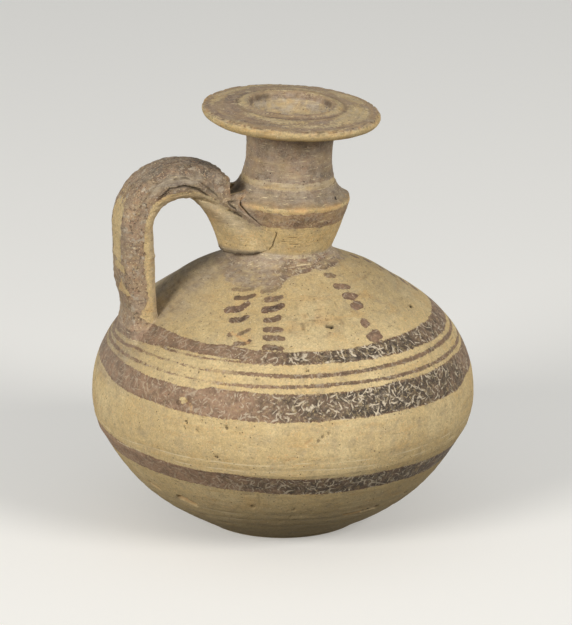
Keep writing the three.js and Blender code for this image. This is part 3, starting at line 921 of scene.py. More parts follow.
def handle_line():
    """The strap's middle line in its own plane, from inside the shoulder up and over into the neck."""
    foot_pull = (HANDLE_FOOT[0], HANDLE_FOOT[1] + WALL_THICKNESS)
    leg_pull = (HANDLE_SPRING[0], (foot_pull[1] + HANDLE_SPRING[1]) / 2)
    rise = (HANDLE_TOP[1] - HANDLE_SPRING[1]) * ARCH_FULLNESS
    run = (HANDLE_SPRING[0] - HANDLE_TOP[0]) * ARCH_FULLNESS
    pull = (HANDLE_TOP[0] - HANDLE_ROOT[0]) / 2
    below = bezier((HANDLE_FOOT[0], HANDLE_FOOT[1] - FOOT_EXTENSION), HANDLE_FOOT)
    leg = bezier(HANDLE_FOOT, foot_pull, leg_pull, HANDLE_SPRING)
    bend = (HANDLE_SPRING[0], HANDLE_SPRING[1] + rise)
    arch = bezier(HANDLE_SPRING, bend, (HANDLE_TOP[0] + run, HANDLE_TOP[1]), HANDLE_TOP)
    arrive = pitched(HANDLE_ROOT, ROOT_PITCH, pull)
    fall = bezier(HANDLE_TOP, (HANDLE_TOP[0] - pull, HANDLE_TOP[1]), arrive, HANDLE_ROOT)
    within = bezier(HANDLE_ROOT, pitched(HANDLE_ROOT, ROOT_PITCH, -ROOT_EXTENSION))
    return resampled(chain(below, leg, arch, fall, within), 0.1)


def strap_section():
    """The strap's section as across and through, from the middle of its inner face round by the front."""
    angles = np.radians(np.arange(-88.5, 270, 3))
    corner = np.stack([np.cos(angles), np.sin(angles)], 1)
    half = np.array([STRAP_WIDTH, STRAP_THICKNESS]) / 2 - STRAP_ROUND
    loop = corner * STRAP_ROUND + np.sign(corner) * half
    start = np.array([[0.0, -STRAP_THICKNESS / 2]])
    loop = np.vstack([start, loop, start])
    return resampled(loop, run_along(loop)[-1] / STRAP_COLUMNS)[:-1]


strap_line = handle_line()
strap_run = run_along(strap_line)
strap_slope = np.gradient(strap_line, strap_run, axis=0)
strap_across, strap_through = strap_section().T
strap_middle = strap_run[-1] / 2
arch_start = int(np.argmax(strap_line[:, 1] > HANDLE_SPRING[1]))


def strap_spot(run, across, through):
    """A point of the strap from its place along the middle line and in the section."""
    reach, height = (np.interp(run, strap_run, strap_line[:, k]) for k in (0, 1))
    step_out, step_high = (np.interp(run, strap_run, strap_slope[:, k]) for k in (0, 1))
    return np.stack([-reach - through * step_high, 0 * run - across, height - through * step_out], -1)


def run_at_reach(reach):
    """The place along the arch at a reach."""
    return np.interp(-np.asarray(reach, float), -strap_line[arch_start:, 0], strap_run[arch_start:])


def body_depth(points):
    """How deep under the body's skin a point is."""
    _, radius, height = place_of(points)
    return (body_radius(height) - radius) / slope_share(height)


def neck_depth(points):
    """How deep under the neck's skin a point is."""
    _, radius, height = place_of(pot_to_neck(points))
    return neck_radius(height) - radius


# The strap's top is broken off at this reach, over this part of its thickness
TOP_END = 15.6
TOP_RAGGED = 0.7
TOP_THROUGH = (-3.2, -0.4)


def strap_ends(depth, top_end=0.0):
    """For each line along the strap, where it leaves the body and where it ends at the neck."""
    runs = np.linspace(0, strap_run[-1], 1500)
    points = strap_spot(runs[:, None], strap_across[None], strap_through[None])
    ragged = TOP_RAGGED * noise(np.stack([strap_across, strap_through, 0 * strap_across], -1), 1.7, 80)
    limit = (top_end + ragged) * step_up(strap_through, *TOP_THROUGH)
    lower = (body_depth(points) > depth) & (runs < strap_middle)[:, None]
    within = (neck_depth(points) > depth) | (-points[..., 0] < limit)
    upper = within & (runs > strap_middle)[:, None]
    start = runs[len(runs) - 1 - np.argmax(lower[::-1], axis=0)]
    end = np.where(upper.any(0), runs[np.argmax(upper, axis=0)], runs[-1])
    return start, end


# Grooves on the arch's front: reach and through along each, width, depth and how dark it is
ARCH_GROOVES = (
    (((34.0, -1.0), (31.0, -0.3), (27.0, -0.4), (23.5, -1.3), (20.0, -2.6), (17.0, -3.0)), 0.26, 0.45, 0.8),
    (((29.5, 1.6), (27.0, 1.5), (23.5, 0.6), (20.0, -0.9), (17.5, -1.6)), 0.2, 0.25, 0.5),
    (((36.5, 1.2), (33.0, 2.2), (29.0, 2.7)), 0.3, 0.2, 0.15),
    (((35.5, -2.6), (31.0, -2.2), (27.0, -2.4), (23.0, -3.2)), 0.2, 0.12, 0.3),
)
# Crumbs at the strap's inner front corner: height, radius and rise
CRUMBS = ((72.3, 0.8, 0.55), (68.6, 0.7, 0.45), (63.5, 0.6, 0.3))
INNER_CORNER = (-HANDLE_SPRING[0] + STRAP_THICKNESS / 2 - 0.7, -STRAP_WIDTH / 2 + 0.7)
# How far the broken end crumbles, how its break is set in and how dark the strap's ends are painted as
# shade
CRUMBLE_REACH = 1.8
BREAK_DEPTH = (-3.0, 0.0, -0.8)
END_DARKNESS = 0.85
# The leg is a little thinner outside: height, reach and depth
LEG_WAIST = (58.6, 4.0, 1.15)
STRAP_LUMPS = ((0.16, 8.0, 81), (0.1, 2.6, 82), (0.11, 0.8, 83))


def strap_relief(points, run, across, through):
    """How far the strap's skin stands out, its painted dirt and shade, and how much fresh clay shows."""
    drawn = 0.06 * noise(np.stack([run * 0.12, across, through], -1), 0.8, 84)
    relief = layered(points, *STRAP_LUMPS) + drawn
    hollow = np.clip(noise(points, 0.9, 85) - 0.7, 0, 0.5)
    wobble = layered(points, (0.22, 1.6, 86), (0.12, 0.6, 87))
    for line, width, depth, dark in ARCH_GROOVES:
        reach, offset = np.array(line).T
        ends = strap_spot(run_at_reach(reach), STRAP_WIDTH / 2 + 0 * reach, offset)
        mark = pressed(abs(gap_to(points, ends) + wobble), width, depth)
        relief -= mark
        hollow = np.maximum(hollow, dark * mark / depth)
    for height, width, rise in CRUMBS:
        relief += rise * bell(gap_from(points, (*INNER_CORNER, height)), width)
    waist_height, waist_reach, waist_depth = LEG_WAIST
    waist = bell(points[:, 2] - waist_height, waist_reach)
    relief -= waist_depth * waist * step_up(through, 0.0, 4.0) * (run < strap_middle)
    top = step_up(through, -1.0, 1.5) * (run > strap_middle)
    crumble = top * step_up(-points[:, 0] - TOP_END, CRUMBLE_REACH, 0.3)
    relief += crumble * (0.4 * noise(points, 1.0, 88) - 0.15)
    fresh = np.clip(crumble * (0.15 + 0.5 * noise(points, 1.3, 89)), 0, 0.5)
    return relief, np.clip(hollow, 0, 1), fresh


# Bare places on the strap's outer face: half their width, and the heights that each lies between
BARE_HALF = 3.6
BARE_STRIPE = (70.9, 85.5)
BARE_WINDOW = (68.3, 70.3)
BARE_TRIANGLE = (62.6, 65.8)
# How far through the strap its paint reaches, up the leg, on the arch and at the root
SIDE_HEIGHTS = (53.7, 57.3, 60.9, 64.0)
SIDE_LIMITS = (-3.8, 1.2, -1.05, -1.05)
ARCH_LIMIT = -1.9
ROOT_LIMIT = -2.7
# The scraped place on the arch's front: reaches and throughs that it lies between
SCRAPED_REACH = (21.0, 37.0)
SCRAPED_THROUGH = (-0.6, 2.9)


def spare_outer_face(paint, height, run, across, through, ragged):
    """Leaves a stripe, a window and a triangle of the strap's outer face bare."""
    outer = np.where(through > STRAP_THICKNESS / 2 - 1.0, 4.0, -4.0)
    stripe = np.minimum(height - BARE_STRIPE[0], (BARE_STRIPE[1] - height) * 0.3)
    stripe = np.minimum(np.where(run < run_at_reach(30.0), stripe, BARE), BARE_HALF - abs(across))
    paint.spare(np.minimum(stripe, outer) + 1.3 * ragged)
    window = np.minimum(height - BARE_WINDOW[0], BARE_WINDOW[1] - height)
    paint.spare(np.minimum.reduce([BARE_HALF - abs(across - 1.5), window, outer]) + 0.6 * ragged)
    low, high = BARE_TRIANGLE
    wedge = np.minimum(height - low, (high - height) * 0.8 - abs(across - 2.8) * 0.9 + 1.0)
    paint.spare(np.minimum(wedge, outer) + 0.5 * ragged)


def scraped_arch(run, across, through, ragged):
    """How much of the paint is scraped off the arch's front."""
    along = run + 3 * ragged
    far, near = (run_at_reach(reach) for reach in SCRAPED_REACH)
    low, high = SCRAPED_THROUGH
    edge = np.minimum(through - low, high - through) + 1.6 * ragged
    scraped = np.minimum(step_up(along, near, near + 4), step_up(along, far, far - 4))
    return scraped * step_up(edge, 0.0, 1.2) * step_up(across, 4.5, 6.0)


def paint_strap(points, run, across, through):
    """A painted stripe along each outer corner of the leg, and a painted arch."""
    paint = Paint(len(points))
    height = points[..., 2]
    arch = step_up(run, run_at_reach(36.5), run_at_reach(29.0))
    root = step_up(run, run_at_reach(25.0), run_at_reach(20.0))
    ragged = layered(points, (0.42, 3.2, 91), (0.3, 1.1, 92), (0.15, 0.5, 95))
    over = ARCH_LIMIT + (ROOT_LIMIT - ARCH_LIMIT) * root
    limit = np.interp(height, SIDE_HEIGHTS, SIDE_LIMITS) * (1 - arch) + over * arch
    tone = 0.2 + 0.6 * arch + layered(points, (0.4, 4.5, 93), (0.3, 1.6, 96))
    rubbed = np.clip(noise(points, 5.5, 99) - 0.15, 0, 0.6)
    coat = 0.8 + 0.12 * arch + 0.16 * noise(points, 2.2, 94) - 0.6 * rubbed
    paint.lay(through - limit + ragged, coat, tone, 1.15 - 0.3 * arch)
    spare_outer_face(paint, height, run, across, through, ragged)
    scraped = scraped_arch(run, across, through, ragged)
    paint.coat = paint.coat * (1 - 0.85 * scraped)
    painted = step_up(paint.edge, -0.2, 0.6)
    # The film on the strap's inner face, turned to the body, is painted shade
    shaded_inner = step_up(through, -1.8, -3.2)
    paint.lay_dust_and_light(0.95 * scraped + 0.35 * shaded_inner + painted * (0.36 + 0.34 * noise(points, 3.0, 98)))
    return paint


def strap_fields(run, grid):
    """Where each point of a grid over the strap lies along, across and through it."""
    fields = (run, strap_across, strap_through)
    return [np.broadcast_to(field, grid.shape[:2]).reshape(-1) for field in fields]


def handle_strap(name, material):
    start, end = strap_ends(STRAP_SINK, TOP_END)
    rows = round(strap_run[-1] / STRAP_STEP)
    run = start + (end - start) * np.linspace(0, 1, rows)[:, None]
    grid = strap_spot(run, strap_across, strap_through)
    flat = grid.reshape(-1, 3)
    fields = strap_fields(run, grid)
    paint = paint_strap(flat, *fields)
    relief, paint.hollow, paint.fresh = strap_relief(flat, *fields)
    grid = lifted(grid, relief, grid - strap_spot(run, 0 * strap_across, 0 * strap_through))
    ends = [np.broadcast_to(row.mean(0), row.shape)[None] for row in (grid[0], grid[-1])]
    grid = np.concatenate([ends[0], grid, ends[1] + BREAK_DEPTH])
    paint.widen(STRAP_COLUMNS, STRAP_COLUMNS)
    # The strap's end faces are painted dark, as shade
    paint.hollow[:STRAP_COLUMNS] = END_DARKNESS
    paint.hollow[-STRAP_COLUMNS:] = END_DARKNESS
    return make_piece(name, grid, False, paint, material)


# Luting clay

SKIRT_ROWS = 34
SKIRT_SINK = 0.1
SKIRT_CORE = 1.2
SKIRT_PASSING = (0.2, 0.8)


def skirt_grid(high, corner, low, high_normal, low_normal):
    """A ring of clay in the corner between two skins, closed by rows inside both of them."""
    high = high - SKIRT_SINK * high_normal
    low = low - SKIRT_SINK * low_normal
    seen = bezier(high, corner, low, count=SKIRT_ROWS)
    inside = corner - SKIRT_CORE * (high_normal + low_normal)
    rows = [low - SKIRT_CORE * low_normal, inside, high - SKIRT_CORE * high_normal]
    return seen, np.stack(rows)


def skirt_weight(seen):
    """How far each point of a ring has passed from the near skin to the far one."""
    share = np.linspace(0, 1, len(seen))[:, None]
    return step_up(np.broadcast_to(share, seen.shape[:2]).reshape(-1), *SKIRT_PASSING)


def skirt_piece(name, seen, unseen, outward, skins, paint, material):
    """A ring whose relief passes from that of the near skin to that of the far one."""
    weight = skirt_weight(seen)
    relief, paint.hollow, paint.fresh = ((1 - weight) * near + weight * far for near, far in zip(*skins))
    grid = np.concatenate([lifted(seen, relief, outward), unseen])
    paint.widen(0, unseen.shape[0] * unseen.shape[1])
    return make_piece(name, grid, True, paint, material)


def body_normals(points):
    """Outward normals of the body's skin."""
    bearing, _, height = place_of(points)
    rise = np.interp(height, body_line[:, 1], np.gradient(body_line[:, 0]) / np.gradient(body_line[:, 1]))
    return unit(heading(bearing) - rise[..., None] * UP)


def strap_normals(run, across, through):
    """Directions out from the strap's middle line."""
    return unit(strap_spot(run, across, through) - strap_spot(run, across * 0.4, through * 0))


# How far the collar reaches up the strap and out over the body, least and most
FOOT_RISE = (0.6, 6.5)
FOOT_SPREAD = (0.5, 3.6)


def paint_foot(points, strap_paint):
    """The body's paint, with the strap's above the lower edge of the shoulder band."""
    paint = paint_body(points)
    bearing, _, height = place_of(points)
    above = height - edge_height(bearing, SHOULDER_BAND[0])
    paint.lay(np.minimum(strap_paint.edge, above), strap_paint.coat, strap_paint.tone, strap_paint.wear)
    return paint


def handle_foot_luting(name, material):
    """The collar that spreads from the strap's foot over the shoulder, widest on the outside."""
    start, _ = strap_ends(0.0)
    outer = step_up(strap_through, -3.5, 3.5) ** 1.5
    rise, spread = (least + (most - least) * outer for least, most in (FOOT_RISE, FOOT_SPREAD))
    corner = strap_spot(start, strap_across, strap_through)
    high = strap_spot(start + rise, strap_across, strap_through)
    high_normal = strap_normals(start + rise, strap_across, strap_through)
    normal = body_normals(corner)
    away = corner - corner.mean(0)
    away = unit(away - (away * normal).sum(-1, keepdims=True) * normal)
    low_bearing, _, low_height = place_of(corner + away * spread[:, None])
    low = on_body(low_bearing, low_height)
    low_normal = body_normals(low)
    seen, unseen = skirt_grid(high, corner, low, high_normal, low_normal)
    flat = seen.reshape(-1, 3)
    fields = strap_fields(start + rise * np.linspace(1, 0, SKIRT_ROWS)[:, None], seen)
    paint = paint_foot(flat, paint_strap(flat, *fields))
    skins = strap_relief(flat, *fields), body_relief(flat)
    return skirt_piece(name, seen, unseen, high_normal + low_normal, skins, paint, material)


# How far the luting reaches along the strap: least, more towards the underside, more still below it
ROOT_RISE = (0.5, 9.5, 8.5)
# Where that sets in: through the strap, and in shares of the way round it from its inner middle
ROOT_UNDER = (3.6, -4.0)
ROOT_BELOW = (0.17, 0.07)
# Where it sinks under the strap's top, through the strap
ROOT_TOP = (-0.8, 1.2)
# Where its torn lip with a painted shadow under it and its pale strand, a painted highlight, set in, in
# shares of the way down to the cup
ROOT_LIP = (0.93, 1.0)
ROOT_STRAND_HIGHLIGHT = (0.72, 0.9)
ROOT_ROWS = 96
ROOT_FALL = 2.2
ROOT_TOP_SINK = 0.6
# Radius and height on the neck of the corner that the clay below the strap fills
ROOT_CORNER = (19.7, 10.7)
# The luting's outline on the cup: share of the way round the strap, turn from the handle, height, thickness
ROOT_OUTLINE = (
    (0.00, 0.0, -0.1, 5.6), (0.06, 13.0, -0.1, 5.0), (0.105, 26.0, 0.2, 3.2), (0.14, 39.0, 0.8, 1.1),
    (0.165, 49.0, 1.6, -0.1), (0.19, 55.0, 3.6, -0.15), (0.21, 57.0, 6.2, -0.1), (0.235, 48.0, 8.2, 0.3),
    (0.30, 23.0, 11.2, 0.7), (0.36, 6.0, 13.6, 0.6), (0.41, 2.5, 14.4, -0.2), (0.50, 0.0, 14.6, -0.6),
    (0.59, -10.0, 14.4, -0.2), (0.66, -22.0, 12.8, 0.4), (0.76, -34.0, 9.5, 0.15),
    (0.82, -42.0, 5.0, -0.15), (0.86, -44.0, 2.0, -0.1), (0.895, -34.0, 0.8, 1.6),
    (0.94, -18.0, 0.1, 5.1), (1.00, 0.0, -0.1, 5.6),
)
OUTLINE_SMOOTHING = 5
# Cracks in the luting, in the neck's bearings and heights, and how wide and deep they are
ROOT_CRACKS = (
    ((-48.9, 14.2), (-46.5, 13.2), (-44.0, 12.4)),
    ((-49.5, 11.7), (-42.0, 10.3)),
)
ROOT_CRACK_WIDTH = 0.24
ROOT_CRACK_DEPTH = 0.45


def root_cracks(spots):
    """How deep the luting is cracked."""
    bearing, _, height = place_of(spots)
    level = on_neck(bearing, height)
    gap = np.minimum.reduce([gap_to(level, neck_marks(line)) for line in ROOT_CRACKS])
    return pressed(gap * (1 + 0.3 * noise(spots, 0.8, 100)), ROOT_CRACK_WIDTH, ROOT_CRACK_DEPTH)


def cracked(skin, cracks):
    """Relief, painted dirt and shade, and fresh clay with the cracks let in."""
    relief, hollow, fresh = skin
    return relief - cracks, np.maximum(hollow, 0.9 * cracks / ROOT_CRACK_DEPTH), fresh


def root_outline():
    """Turn, height and thickness of the luting's outline for each line along the strap."""
    share = np.arange(STRAP_COLUMNS) / STRAP_COLUMNS
    knots = np.array(ROOT_OUTLINE).T
    rounds = np.ones(OUTLINE_SMOOTHING) / OUTLINE_SMOOTHING
    smooth = []
    for values in knots[1:]:
        line = np.interp(share, knots[0], values)
        padded = np.pad(line, OUTLINE_SMOOTHING // 2, mode="wrap")
        smooth.append(np.convolve(padded, rounds, mode="valid"))
    return smooth


def root_reach():
    """For each line along the strap, how far up the luting reaches and how much is below the strap."""
    under = step_up(strap_through, *ROOT_UNDER)
    aside = abs((np.arange(STRAP_COLUMNS) / STRAP_COLUMNS + 0.5) % 1 - 0.5)
    below = step_up(aside, *ROOT_BELOW)
    return ROOT_RISE[0] + ROOT_RISE[1] * under + ROOT_RISE[2] * below, below


def root_surface(high, below, outline, share):
    """Rows from the strap to the outline on the cup, which fill the corner below the strap."""
    turn, low_height, thickness = outline
    bearing, radius, height = place_of(high)
    low_bearing = HANDLE_BEARING + turn
    top = step_up(strap_through, *ROOT_TOP)
    lift = (radius - neck_radius(height)) * (1 - top) - ROOT_TOP_SINK * top
    row_bearing = bearing + (low_bearing - bearing) * share
    row_height = height + (low_height - height) * share
    row_lift = thickness + (lift - thickness) * (1 - share) ** ROOT_FALL
    hugging = at(row_bearing, neck_radius(row_height) + row_lift, row_height)
    corner_radius, corner_height = (value + 0 * bearing for value in ROOT_CORNER)
    corner = at((bearing + low_bearing) / 2, corner_radius, corner_height)
    low = at(low_bearing, neck_radius(low_height) + thickness, low_height)
    filling = bezier(high, corner, low, count=ROOT_ROWS)
    return hugging + below[:, None] * (filling - hugging)


def handle_root_luting(name, material):
    """The clay from the strap down over the cup, thick below and drawn out to a tongue in front."""
    _, end = strap_ends(0.0)
    rise, below = root_reach()
    outline = root_outline()
    turn, low_height, thickness = outline
    low_bearing = HANDLE_BEARING + turn
    high = pot_to_neck(strap_spot(end - rise, strap_across, strap_through))
    high_normal = strap_normals(end - rise, strap_across, strap_through)
    bearing, _, height = place_of(high)
    share = np.linspace(0, 1, ROOT_ROWS)[:, None]
    seen = neck_to_pot(root_surface(high, below, outline, share))
    seen[0] -= SKIRT_SINK * high_normal
    back = at(low_bearing, neck_radius(low_height) - SKIRT_CORE, low_height)
    core = at(bearing, neck_radius(height) - SKIRT_CORE, height * 0.7 + low_height * 0.3)
    unseen = np.stack([neck_to_pot(back), neck_to_pot(core), seen[0] - SKIRT_CORE * high_normal])
    flat = seen.reshape(-1, 3)
    spots = pot_to_neck(flat)
    fields = strap_fields(end - rise * (1 - share), seen)
    paint = paint_strap(flat, *fields).passing_to(paint_neck(spots), skirt_weight(seen))
    # A painted highlight along the tongue's pale strand
    strand_highlight = step_up(share, *ROOT_STRAND_HIGHLIGHT) * step_up(low_height, 7.5, 9.0) * step_up(turn, 2.0, 8.0)
    paint.lay_dust_and_light(0.95 * strand_highlight.reshape(-1))
    relief, hollow, fresh = neck_relief(spots)
    # A painted shadow under the torn lip where it stands off the cup
    lip = (step_up(share, *ROOT_LIP) * step_up(thickness, 0.3, 1.2)).reshape(-1)
    far_skin = relief + 0.5 * lip * noise(spots, 0.9, 97), np.maximum(hollow, 0.8 * lip), fresh
    cracks = root_cracks(spots)
    skins = [cracked(skin, cracks) for skin in (strap_relief(flat, *fields), far_skin)]
    return skirt_piece(name, seen, unseen, high_normal + heading(low_bearing), skins, paint, material)


def neck_luting(name, material):
    """The ring of clay smeared from the cup's foot out over the shoulder."""
    bearings = np.linspace(-180, 180, NECK_COLUMNS, endpoint=False)
    top = on_neck(bearings, NECK_RING_HEIGHT + 0 * bearings)
    top_normal = heading(bearings)
    falling = shoulder_line[shoulder_line[:, 1] > BELLY_HEIGHT][::-1]
    ring_height = np.interp(NECK_RING_RADIUS, falling[:, 0], falling[:, 1])
    toe = on_body(bearings, ring_height + 0 * bearings)
    corner = at(bearings, SEAT_RADIUS - 0.2 + 0 * bearings, SEAT_HEIGHT + 0.2 + 0 * bearings)
    seen, unseen = skirt_grid(neck_to_pot(top), corner, toe, top_normal, body_normals(toe))
    flat = seen.reshape(-1, 3)
    spots = pot_to_neck(flat)
    paint = paint_neck(spots).passing_to(paint_body(flat), skirt_weight(seen))
    smear(paint, flat, 3.0 * skirt_weight(seen) + 0.4 * noise(flat, 1.5, 101))
    skins = neck_relief(spots), body_relief(flat)
    return skirt_piece(name, seen, unseen, top_normal + body_normals(toe), skins, paint, material)


# Turned pieces

# Columns round the axis, whether it is the neck's, and what gives the relief and the paint
BODY_SKIN = (BODY_COLUMNS, False, body_relief, paint_body)
NECK_SKIN = (NECK_COLUMNS, True, neck_relief, paint_neck)


def lower_body(name, material):
    foot = (BASE_RADIUS - BASE_ROUND, 0)
    under = bezier((0, BASE_HOLLOW), (BASE_RADIUS * 0.7, BASE_HOLLOW), foot, count=16)
    edge = bezier(foot, (BASE_RADIUS, 0), (BASE_RADIUS, BASE_ROUND / 2), count=4)
    seen = np.vstack([under, edge[1:], resampled(bowl_line, BODY_STEP)[1:]])
    inside = inset(bowl_line, WALL_THICKNESS)
    lip = [(SEAM_RADIUS - 0.45, SEAM_HEIGHT + 0.5), inside[-1]]
    inside = resampled(inside[inside[:, 1] > FLOOR_THICKNESS][::-1], HIDDEN_STEP)
    floor = [(inside[-1, 0] * share, FLOOR_THICKNESS) for share in (0.98, 0.6, 0)]
    unseen = np.vstack([lip, inside[1:], floor])
    return turned_piece(name, seen, unseen, BODY_SKIN, material, closed=False)


def upper_body(name, material):
    seen = resampled(shoulder_line, BODY_STEP)
    inside = inset(shoulder_line, WALL_THICKNESS)
    inside = resampled(inside[inside[:, 0] > BORE_RADIUS + 0.3][::-1], HIDDEN_STEP)
    seat = [(BORE_RADIUS, SEAT_HEIGHT), (BORE_RADIUS, inside[0, 1])]
    return turned_piece(name, seen, np.vstack([seat, inside]), BODY_SKIN, material)


def neck_cup(name, material):
    seen = resampled(cup_outline(), NECK_STEP)
    socket = [(SOCKET_RADIUS, CUP_HEIGHT), (SOCKET_RADIUS, SOCKET_HEIGHT)]
    bore = [(SOCKET_RADIUS - 1.6, SOCKET_HEIGHT), (BORE_RADIUS, 0)]
    return turned_piece(name, seen, np.array(socket + bore), NECK_SKIN, material)


def ridge_luting(name, material):
    seen = resampled(slope_outline(), NECK_STEP)
    shaded_inner = TUBE_RADIUS - 0.9
    foot = CUP_HEIGHT - 0.6
    unseen = np.array([(shaded_inner, SLOPE_TOP_HEIGHT), (shaded_inner, foot), (RIDGE_RADIUS - 0.9, foot)])
    return turned_piece(name, seen, unseen, NECK_SKIN, material)


def neck_tube(name, material):
    seen = resampled(tube_line[tube_line[:, 1] > SLOPE_TOP_HEIGHT - 1], NECK_STEP)
    foot = SOCKET_HEIGHT + 0.3
    bore = [(BORE_RADIUS, DISC_FOOT_HEIGHT), (BORE_RADIUS, foot)]
    unseen = np.array(bore + [(TUBE_RADIUS, foot), (TUBE_RADIUS, CUP_HEIGHT)])
    return turned_piece(name, seen, unseen, NECK_SKIN, material)


# How far the rim dips to the front and to the right
RIM_TILT = (2.0, 0.9)
# The rim's outline from its underside into the mouth: points to a stretch, its pull and its end
RIM_STRETCHES = (
    (20, (20.0, 32.5)),
    (20, (21.7, 32.8), (22.1, 34.2)),
    (20, (22.2, 35.2), (21.2, 35.35)),
    (30, (17.0, 35.8), (13.4, 36.15)),
    (12, (12.2, 36.2), (11.4, 36.65)),
    (12, (10.5, 36.7), (10.2, 35.7)),
    (16, (9.4, 32.9), (BORE_RADIUS, 31.4)),
)
# Radii at which its edge is worn, its side is cracked and its top is grooved
RIM_WORN_RADIUS = 21.6
RIM_SIDE_RADIUS = 20.5
RIM_GROOVE_RADIUS = 13.4


def rim_outline():
    """The rim falls a little from the mouth to its edge."""
    start = (HEAD_RADIUS - 0.2, DISC_FOOT_HEIGHT)
    stretches = []
    for count, *pulls in RIM_STRETCHES:
        stretches.append(bezier(start, *pulls, count=count))
        start = pulls[-1]
    return chain(*stretches)


def tilted_rim(points):
    """The rim dips to one side, as it was set on by hand."""
    falls = [math.tan(math.radians(tilt)) for tilt in RIM_TILT]
    dip = pot_to_neck(points) @ (falls[0] * FRONT + falls[1] * RIGHT)
    return points - dip[..., None] * UP


RIM_LUMPS = ((0.13, 9.0, 75), (0.05, 2.6, 76), (0.025, 0.9, 77))


def rim_relief(points):
    """The rim's turned rings, worn edge and lumps."""
    bearing, radius, height = place_of(points)
    turning = 0.04 * noise(around(bearing, radius, 4.0), 0.7, 78)
    worn = bell(radius - RIM_WORN_RADIUS, 0.6) * (height > RIM_TOP_HEIGHT - 1.8)
    chips = worn * np.clip(noise(points, 1.1, 79), 0, None) * 0.42
    groove = pressed(radius - RIM_GROOVE_RADIUS, 0.45, 0.11) * (height > RIM_TOP_HEIGHT - 0.9)
    level = around(bearing, height * 1.6, 6.0)
    cracks = (radius > RIM_SIDE_RADIUS) * bell(noise(level, 0.9, 69), 0.07)
    cracks = cracks * step_up(noise(level, 4.0, 68), 0.0, 0.4)
    relief = layered(points, *RIM_LUMPS) + turning - chips - groove - 0.08 * cracks
    mouth = bell(radius - MOUTH_RADIUS, 0.3) * (height > RIM_TOP_HEIGHT - 1.5)
    hollow = np.maximum.reduce([
        groove * 2.5,
        0.45 * cracks,
        1.6 * np.clip(chips - 0.12, 0, None),
        0.5 * mouth * step_up(noise(points, 2.5, 67), -0.3, 0.3),
        0.55 * worn * step_up(noise(points, 0.7, 66), 0.3, 0.5),
    ])
    return relief, np.clip(hollow, 0, 1), np.clip(chips * 2.0, 0, 0.8)


def mouth_disc(name, material):
    seen = resampled(rim_outline(), NECK_STEP * 1.1)
    skin = (NECK_COLUMNS, True, rim_relief, paint_rim)
    return turned_piece(name, seen, seen[:0], skin, material, bend=tilted_rim)


# Clay

def tint(red, green, blue):
    """A colour as a picture shows it, turned into light."""
    shares = [value / 255 for value in (red, green, blue)]
    return tuple(s / 12.92 if s <= 0.04045 else ((s + 0.055) / 1.055) ** 2.4 for s in shares) + (1.0,)


PAINT_BROWN = tint(156, 125, 101)
PAINT_DARK = tint(53, 45, 43)
PAINT_EDGE = tint(112, 80, 62)
FILM_DARK = tint(116, 101, 90)
FILM_PALE = tint(184, 168, 143)
SCRATCHED = tint(216, 200, 173)
DUST_GREY = tint(182, 168, 148)
SHADE_AND_DIRT_TINT = tint(48, 39, 30)
FRESH_CLAY = tint(222, 178, 122)
WARM_FLECK = tint(186, 128, 80)
RUBBED = tint(174, 138, 100)
PALE_FLECK = tint(232, 214, 174)
SPECK = tint(92, 74, 54)
# A clay: its slip, a paler and a warmer place in it, its dust, the depth of its grain, the shares of
# scratches and flecks in its paint, and how strongly pale brush lines show
Clay = collections.namedtuple("Clay", "slip pale warm dust grain scratches flecks brushed")
CLAYS = {
    "body_clay": Clay(
        tint(210, 184, 133), tint(222, 199, 150), tint(203, 166, 110), tint(184, 164, 128),
        grain=0.09, scratches=0.95, flecks=0.15, brushed=0.15),
    "neck_clay": Clay(
        tint(204, 177, 125), tint(214, 191, 142), tint(204, 162, 102), tint(176, 156, 122),
        grain=0.13, scratches=0.3, flecks=0.5, brushed=0.5),
    "handle_clay": Clay(
        tint(212, 186, 136), tint(226, 203, 155), tint(206, 162, 105), tint(174, 154, 124),
        grain=0.4, scratches=0.2, flecks=0.9, brushed=0.0),
    "luting_clay": Clay(
        tint(202, 177, 128), tint(216, 195, 148), tint(198, 160, 106), tint(174, 156, 124),
        grain=0.2, scratches=0.25, flecks=0.6, brushed=0.75),
}
PAINT_SOFTNESS = 0.13
# Painted shade, darker towards the foot and duller up the shoulder: heights, shades at them and the tilt to
# the right
PAINTED_SHADE_LOW = ((4.0, 28.0), (0.64, 1.0), 0.23)
PAINTED_SHADE_SHOULDER = ((49.0, 58.0), (1.0, 0.82), 0.15)
BUMP_REACH = 0.001


